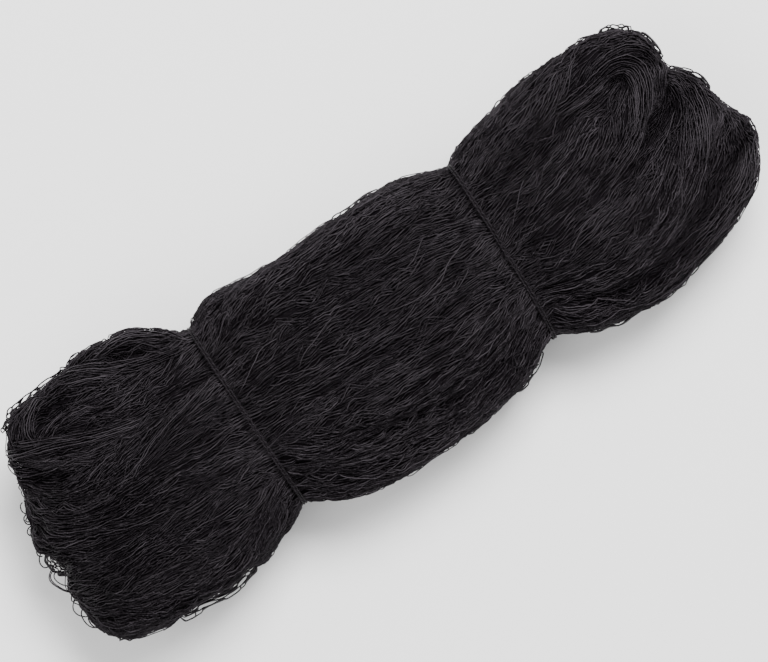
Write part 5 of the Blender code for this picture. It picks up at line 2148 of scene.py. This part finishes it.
    def fringe(self, edge: Edge, piece: TwinePiece, draw: np.random.Generator) -> None:
        """Fill a slack edge with strands along its outline, drawn apart round its gaps.

        Args:
            edge: The row.
            piece: The piece that they go into.
            draw: Where chance comes from.
        """
        plan = raised(edge.line())
        plan = spaced(plan, int(length_of(plan) / self.SLACK_STEP))[:, :2]
        way = unit(np.gradient(plan, axis=0))
        inward = np.stack([way[:, 1], -way[:, 0]], axis=1)
        level = self.skin.middle(plan + inward * (edge.slack + 2.0))
        along = run_along(plan)
        ends = 1 - smoothstep(np.minimum(along, along[-1] - along) / 5.0)
        rows = []
        for row in range(int((edge.slack + 1.4) / self.SLACK_PITCH) + 1):
            shiver = self.shiver(raised(plan, self.ROW_APART * row))
            inset = self.SLACK_TWINE + self.SLACK_PITCH * max(row - 0.4, 0) + np.zeros(len(plan))
            if row > 1:
                inset = inset + 0.45 * shiver[:, 0]
            spot = plan + inward * inset[:, None]
            for gap in edge.gaps:
                spot = self.parted(spot, gap, row)
            spot = spot + inward * (ends * min(edge.slack + 1.5, 3.2))[:, None]
            height = level + draw.uniform(-5, 5) + 1.5 * shiver[:, 1]
            rows.append(EYE.under(spot, height))
        self.slack_strands(np.stack(rows), piece, draw)

    def parted(self, spot: np.ndarray, gap: tuple, row: int) -> np.ndarray:
        """Move a strand in plan off a gap, to the side of the gap that it is already on.

        Args:
            spot: The strand's spots.
            gap: The gap's start, end and width.
            row: Which strand it is, counted from the outline.

        Returns:
            The moved spots.
        """
        start, end = np.array(gap[0]), np.array(gap[1])
        leg = end - start
        long = np.linalg.norm(leg)
        way = leg / long
        side = np.array([way[1], -way[0]])
        across = (spot - start) @ side
        share = np.clip(((spot - start) @ way) / long * 2 - 1, -self.GAP_ENDS, self.GAP_ENDS)
        open_here = np.sqrt(np.clip(1.2 - share**2 * 0.85, 0, 1))
        half = (gap[2] / 2 + self.SLACK_TWINE * 0.8) * open_here
        half = np.where(np.abs(share) < self.GAP_SHUT, half, 0)
        middle = across[np.abs(share).argmin()]
        aside = 1.0 if middle > 0 or (middle == 0 and row % 2) else -1.0
        short = np.maximum(half + self.GAP_EASE * abs(middle) - across * aside, 0)
        return spot + side * (aside * short * (half > 0))[:, None]

    def slack_strands(self, lines: np.ndarray, piece: TwinePiece,
                      draw: np.random.Generator) -> None:
        """Add strands that stand off the net just as they lie.

        Args:
            lines: The lines, as line, station and coordinate.
            piece: The piece that they go into.
            draw: Where chance comes from.
        """
        each = (len(lines), 1)
        normals = np.broadcast_to((0.0, 0.0, 1.0), lines.shape)
        radius = np.full(lines.shape[:2], self.SLACK_TWINE) * draw.uniform(0.9, 1.1, each)
        tone = np.broadcast_to(draw.uniform(*self.SLACK_TONE, each), radius.shape)
        piece.add(Strands(lines, normals, radius, tone))

    def loop(self, loop: Loop, piece: TwinePiece, draw: np.random.Generator) -> None:
        """Hang one loop of slack net off the hank's end.

        Args:
            loop: The row.
            piece: The piece that it goes into.
            draw: Where chance comes from.
        """
        line = raised(loop.line(3))
        line = spaced(line, max(8, int(length_of(line) / self.SLACK_STEP)))
        level = self.skin.middle(line[[0, -1], :2] + (3.0, 0.0))
        share = np.linspace(0, 1, len(line))
        height = level.mean() + draw.uniform(-4, 4) + 1.5 * np.sin(share * math.pi)
        self.slack_strands(EYE.under(line[:, :2], height)[None], piece, draw)


@dataclass
class NetHank:
    """The gathered net: a core painted dark as shade, under coats of twine."""

    CORE_DEPTH = 2.7
    CORE_FLOOR = 0.6
    CORE_SAG = 0.5  # how far an edge of the core may stand above its place before it is cut
    CORE_ROUNDS = 3
    SHORT_EDGE = 2.0  # edges of the core no longer than this are left
    STRAY_COUNT = 80
    SEED = 41

    finish: TwineFinish = TwineFinish(
        "net_twine", (0.0016, 0.0011, 0.0016), (0.037, 0.0327, 0.037))
    # The core's colour is painted shade: far darker than the twine, and without shine.
    deep: TwineFinish = TwineFinish(
        "net_depth_shade", (0.0045, 0.0037, 0.0045), (0.009, 0.0076, 0.009), (0.7, 0.9), 0.0)

    def core(self, skin: Skin) -> bpy.types.Object:
        """Make the inside of the net: the solid drawn in under the coats, its creases deeper.

        Args:
            skin: The net's skin.

        Returns:
            The core.
        """
        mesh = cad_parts["net_hank"].data.copy()
        core = in_scene("net_core", mesh)
        merged = bmesh.new()
        merged.from_mesh(mesh)
        bmesh.ops.remove_doubles(merged, verts=merged.verts, dist=SAME_PLACE)
        bmesh.ops.subdivide_edges(merged, edges=merged.edges, cuts=1, use_grid_fill=True)
        bmesh.ops.triangulate(merged, faces=merged.faces)
        for last in range(self.CORE_ROUNDS, 0, -1):
            places = np.array([vert.co for vert in merged.verts]) / MM
            sunk = skin.settle(places, np.full(len(places), -self.CORE_DEPTH), rounds=3)
            sunk[:, 2] = np.maximum(sunk[:, 2], self.CORE_FLOOR)
            for vert, place in zip(merged.verts, sunk):
                vert.co = place * MM
            proud = self.proud_edges(merged, sunk, skin)
            if last > 1 and proud:
                bmesh.ops.subdivide_edges(merged, edges=proud, cuts=1)
                bmesh.ops.triangulate(merged, faces=merged.faces)
        merged.to_mesh(mesh)
        merged.free()
        mesh.polygons.foreach_set("use_smooth", np.ones(len(mesh.polygons), bool))
        mesh.materials.clear()
        # The core is painted dark as shade.
        mesh.materials.append(self.deep.material())
        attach(core, "root")
        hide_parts("net_hank")
        return core

    def proud_edges(self, merged: bmesh.types.BMesh, sunk: np.ndarray, skin: Skin) -> list:
        """Find the core's edges whose middles bridge a hollow instead of following it.

        Args:
            merged: The core.
            sunk: Its corners' places.
            skin: The net's skin.

        Returns:
            The edges to cut.
        """
        merged.verts.index_update()
        ends = np.array([[vert.index for vert in edge.verts] for edge in merged.edges])
        read = skin.grid.read(sunk[ends].mean(1))
        above = read[:, 0] - read[:, 4] + self.CORE_DEPTH > self.CORE_SAG
        long = np.linalg.norm(sunk[ends[:, 0]] - sunk[ends[:, 1]], axis=1) > self.SHORT_EDGE
        return [edge for edge, cut in zip(merged.edges, above & long) if cut]

    def build(self) -> None:
        """Build the core, the three coats, the full locks, the strays and the slack edges."""
        skin = Skin(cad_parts["net_hank"].data)
        log.info("skin measured: %s cells", skin.grid.values.shape)
        comber = Comber(skin, Flow(skin))
        log.info("core: %d faces", len(self.core(skin).data.polygons))
        material = self.finish.material()
        made = []
        for coat in COATS:
            pieces = {lobe: TwinePiece(f"net_{lobe.value}_{coat.name}", material) for lobe in Lobe}
            comber.cover(coat, pieces)
            made += pieces.values()
        draw = np.random.default_rng(self.SEED)
        names = ("net_full_locks", "net_stray_strands", "net_slack_edges")
        sweeps, strays, slack = (TwinePiece(name, material) for name in names)
        for sweep in SWEEPS:
            comber.sweep(sweep, sweeps, draw)
        for stray in STRAYS:
            comber.stray(stray, strays, draw)
        comber.scatter(self.STRAY_COUNT, strays, draw)
        for edge in EDGES:
            if edge.slack:
                comber.fringe(edge, slack, draw)
        for loop in LOOPS:
            comber.loop(loop, slack, draw)
        for piece in (*made, sweeps, strays, slack):
            piece.build()
            log.info("%s: %d triangles", piece.name, piece.triangles())


@dataclass
class Tie:
    """A laid cord that goes twice round a waist, its ends sealed side by side underneath."""

    INSET = 1.3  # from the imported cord's outline to the middle of this one
    CORD_PITCH = 1.5
    TURNS = 2
    PLY_TONES = ((0.1,), (0.38,))
    LAY = 4.0  # length over which a ply goes once round the cord
    PLY_RADIUS = 0.38
    PLY_OFFSET = 0.34
    SEALED = 0.6  # how much thinner a ply is at its ends
    STEP = 0.62
    LEAST_SIDE = 0.4
    LEAST_MITRE = 0.5

    waist: Waist
    material: bpy.types.Material

    def loop(self) -> np.ndarray:
        """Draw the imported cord's outline in to the middle line of one turn.

        Returns:
            The line as y and z.
        """
        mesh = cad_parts[self.waist.node].data
        flat = [Vector((vert.co.y / MM, vert.co.z / MM)) for vert in mesh.vertices]
        hull = np.array([flat[index] for index in convex_hull_2d(flat)])
        apart = np.linalg.norm(hull - np.roll(hull, 1, axis=0), axis=1) > self.LEAST_SIDE
        hull = hull[apart]
        before = unit(hull - np.roll(hull, 1, axis=0))
        outward = np.stack([before[:, 1], -before[:, 0]], axis=1)
        outward = outward * np.sign(((hull - hull.mean(0)) * outward).sum())
        mitre = unit(outward + np.roll(outward, -1, axis=0))
        lean = np.maximum((mitre * outward).sum(1), self.LEAST_MITRE)[:, None]
        inner = hull - mitre * self.INSET / lean
        inner = np.roll(inner, -inner[:, 1].argmin(), axis=0)
        return cut_corners(inner, 2, closed=True)

    def middle_line(self) -> np.ndarray:
        """Wind the cord's middle line round its waist, side by side with itself.

        Returns:
            The line, one station a row.
        """
        loop = self.loop()
        loop = np.concatenate([loop, loop[:1]])
        flat = np.concatenate([np.zeros((len(loop), 1)), loop], axis=1)
        once = int(length_of(flat) / self.STEP)
        turn = spaced(flat, once + 1)[:-1]
        line = np.concatenate([np.tile(turn, (self.TURNS, 1)), turn[:1]])
        line[:, 0] = self.waist.x + self.waist.tilt * line[:, 1]
        line[:, 0] += self.CORD_PITCH * (np.arange(len(line)) / once - self.TURNS / 2)
        return line

    def build(self) -> bpy.types.Object:
        """Twist the plies round the cord's middle line and join them as one piece.

        Returns:
            The cord.
        """
        line = self.middle_line()
        way = unit(np.gradient(line, axis=0))
        across = tangential(np.broadcast_to((1.0, 0.0, 0.0), line.shape), way)
        outward = np.cross(across, way)
        count = len(self.PLY_TONES)
        turn = run_along(line) / self.LAY + np.arange(count)[:, None] / count
        angle = (math.tau * turn)[..., None]
        spokes = across * np.cos(angle) + outward * np.sin(angle)
        radius = np.full(angle.shape[:2], self.PLY_RADIUS)
        radius[:, [0, -1]] = self.SEALED * self.PLY_RADIUS
        tone = np.broadcast_to(self.PLY_TONES, radius.shape)
        piece = RopePiece(f"{self.waist.node}_cord", self.material, "cord")
        piece.add(Strands(line + spokes * self.PLY_OFFSET, spokes, radius, tone))
        obj = piece.build()
        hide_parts(self.waist.node)
        return obj


@dataclass(frozen=True)
class Lamp:
    """A soft square lamp that faces the hank, in metres and watts."""

    name: str
    place: tuple
    size: float
    power: float

    def hang(self) -> None:
        """Put the lamp in the scene."""
        data = bpy.data.lights.new(self.name, "AREA")
        data.shape = "SQUARE"
        data.size = self.size
        data.energy = self.power
        lamp = in_scene(self.name, data)
        lamp.location = self.place
        lamp.rotation_mode = "QUATERNION"
        lamp.rotation_quaternion = (-Vector(self.place)).to_track_quat("-Z", "Y")


@dataclass
class Studio:
    """Pale floor, soft light and the camera."""

    FLOOR_SIZE = 6.0
    FLOOR_COLOUR = (0.93, 0.93, 0.93, 1)
    FLOOR_ROUGHNESS = 0.9
    WORLD_LIGHT = 0.72
    LENS = 173.0
    CLIP_START = 0.05

    lamps: tuple = (
        Lamp("key_lamp", (0.9, 0.7, 2.35), 1.1, 140.0),
        Lamp("fill_lamp", (-1.3, -0.2, 2.1), 1.8, 32.0),
    )

    def floor(self) -> None:
        """Lay a plain pale floor just under the hank."""
        bpy.ops.object.select_all(action="DESELECT")
        bpy.ops.mesh.primitive_plane_add(size=self.FLOOR_SIZE)
        floor = bpy.context.object
        floor.name = "studio_floor"
        nodes = Nodes("pale_floor")
        nodes.fill(nodes.shader, {"Base Color": self.FLOOR_COLOUR,
                                  "Roughness": self.FLOOR_ROUGHNESS})
        floor.data.materials.append(nodes.material)

    def world(self) -> None:
        """Light the studio evenly from all sides."""
        world = bpy.data.worlds.new("studio")
        world.use_nodes = True
        inputs = world.node_tree.nodes["Background"].inputs
        inputs["Color"].default_value = (1, 1, 1, 1)
        inputs["Strength"].default_value = self.WORLD_LIGHT
        bpy.context.scene.world = world

    def camera(self) -> None:
        """Set the camera above the hank, turned so that the hank runs up to the right."""
        data = bpy.data.cameras.new("camera")
        data.lens = self.LENS
        data.clip_start = self.CLIP_START
        camera = in_scene("camera", data)
        camera.location = EYE.place() * MM
        camera.rotation_mode = "QUATERNION"
        camera.rotation_quaternion = (-Vector(EYE.back())).to_track_quat("-Z", "Y")
        bpy.context.scene.camera = camera

    def build(self) -> None:
        """Set up floor, world, lamps and camera."""
        self.floor()
        self.world()
        for lamp in self.lamps:
            lamp.hang()
        self.camera()


def main() -> None:
    """Build the net, the ties and the studio, and report each piece."""
    logging.basicConfig(level=logging.INFO, format="%(message)s")
    Studio().build()
    NetHank().build()
    cord = TwineFinish("tie_cord", (0.0012, 0.0009, 0.0012), (0.024, 0.021, 0.024), shine=0.1)
    material = cord.material()
    for waist in (LEFT_WAIST, RIGHT_WAIST):
        tie = Tie(waist, material).build()
        log.info("%s: %d faces", tie.name, len(tie.data.polygons))


if __name__ == "__main__":
    main()
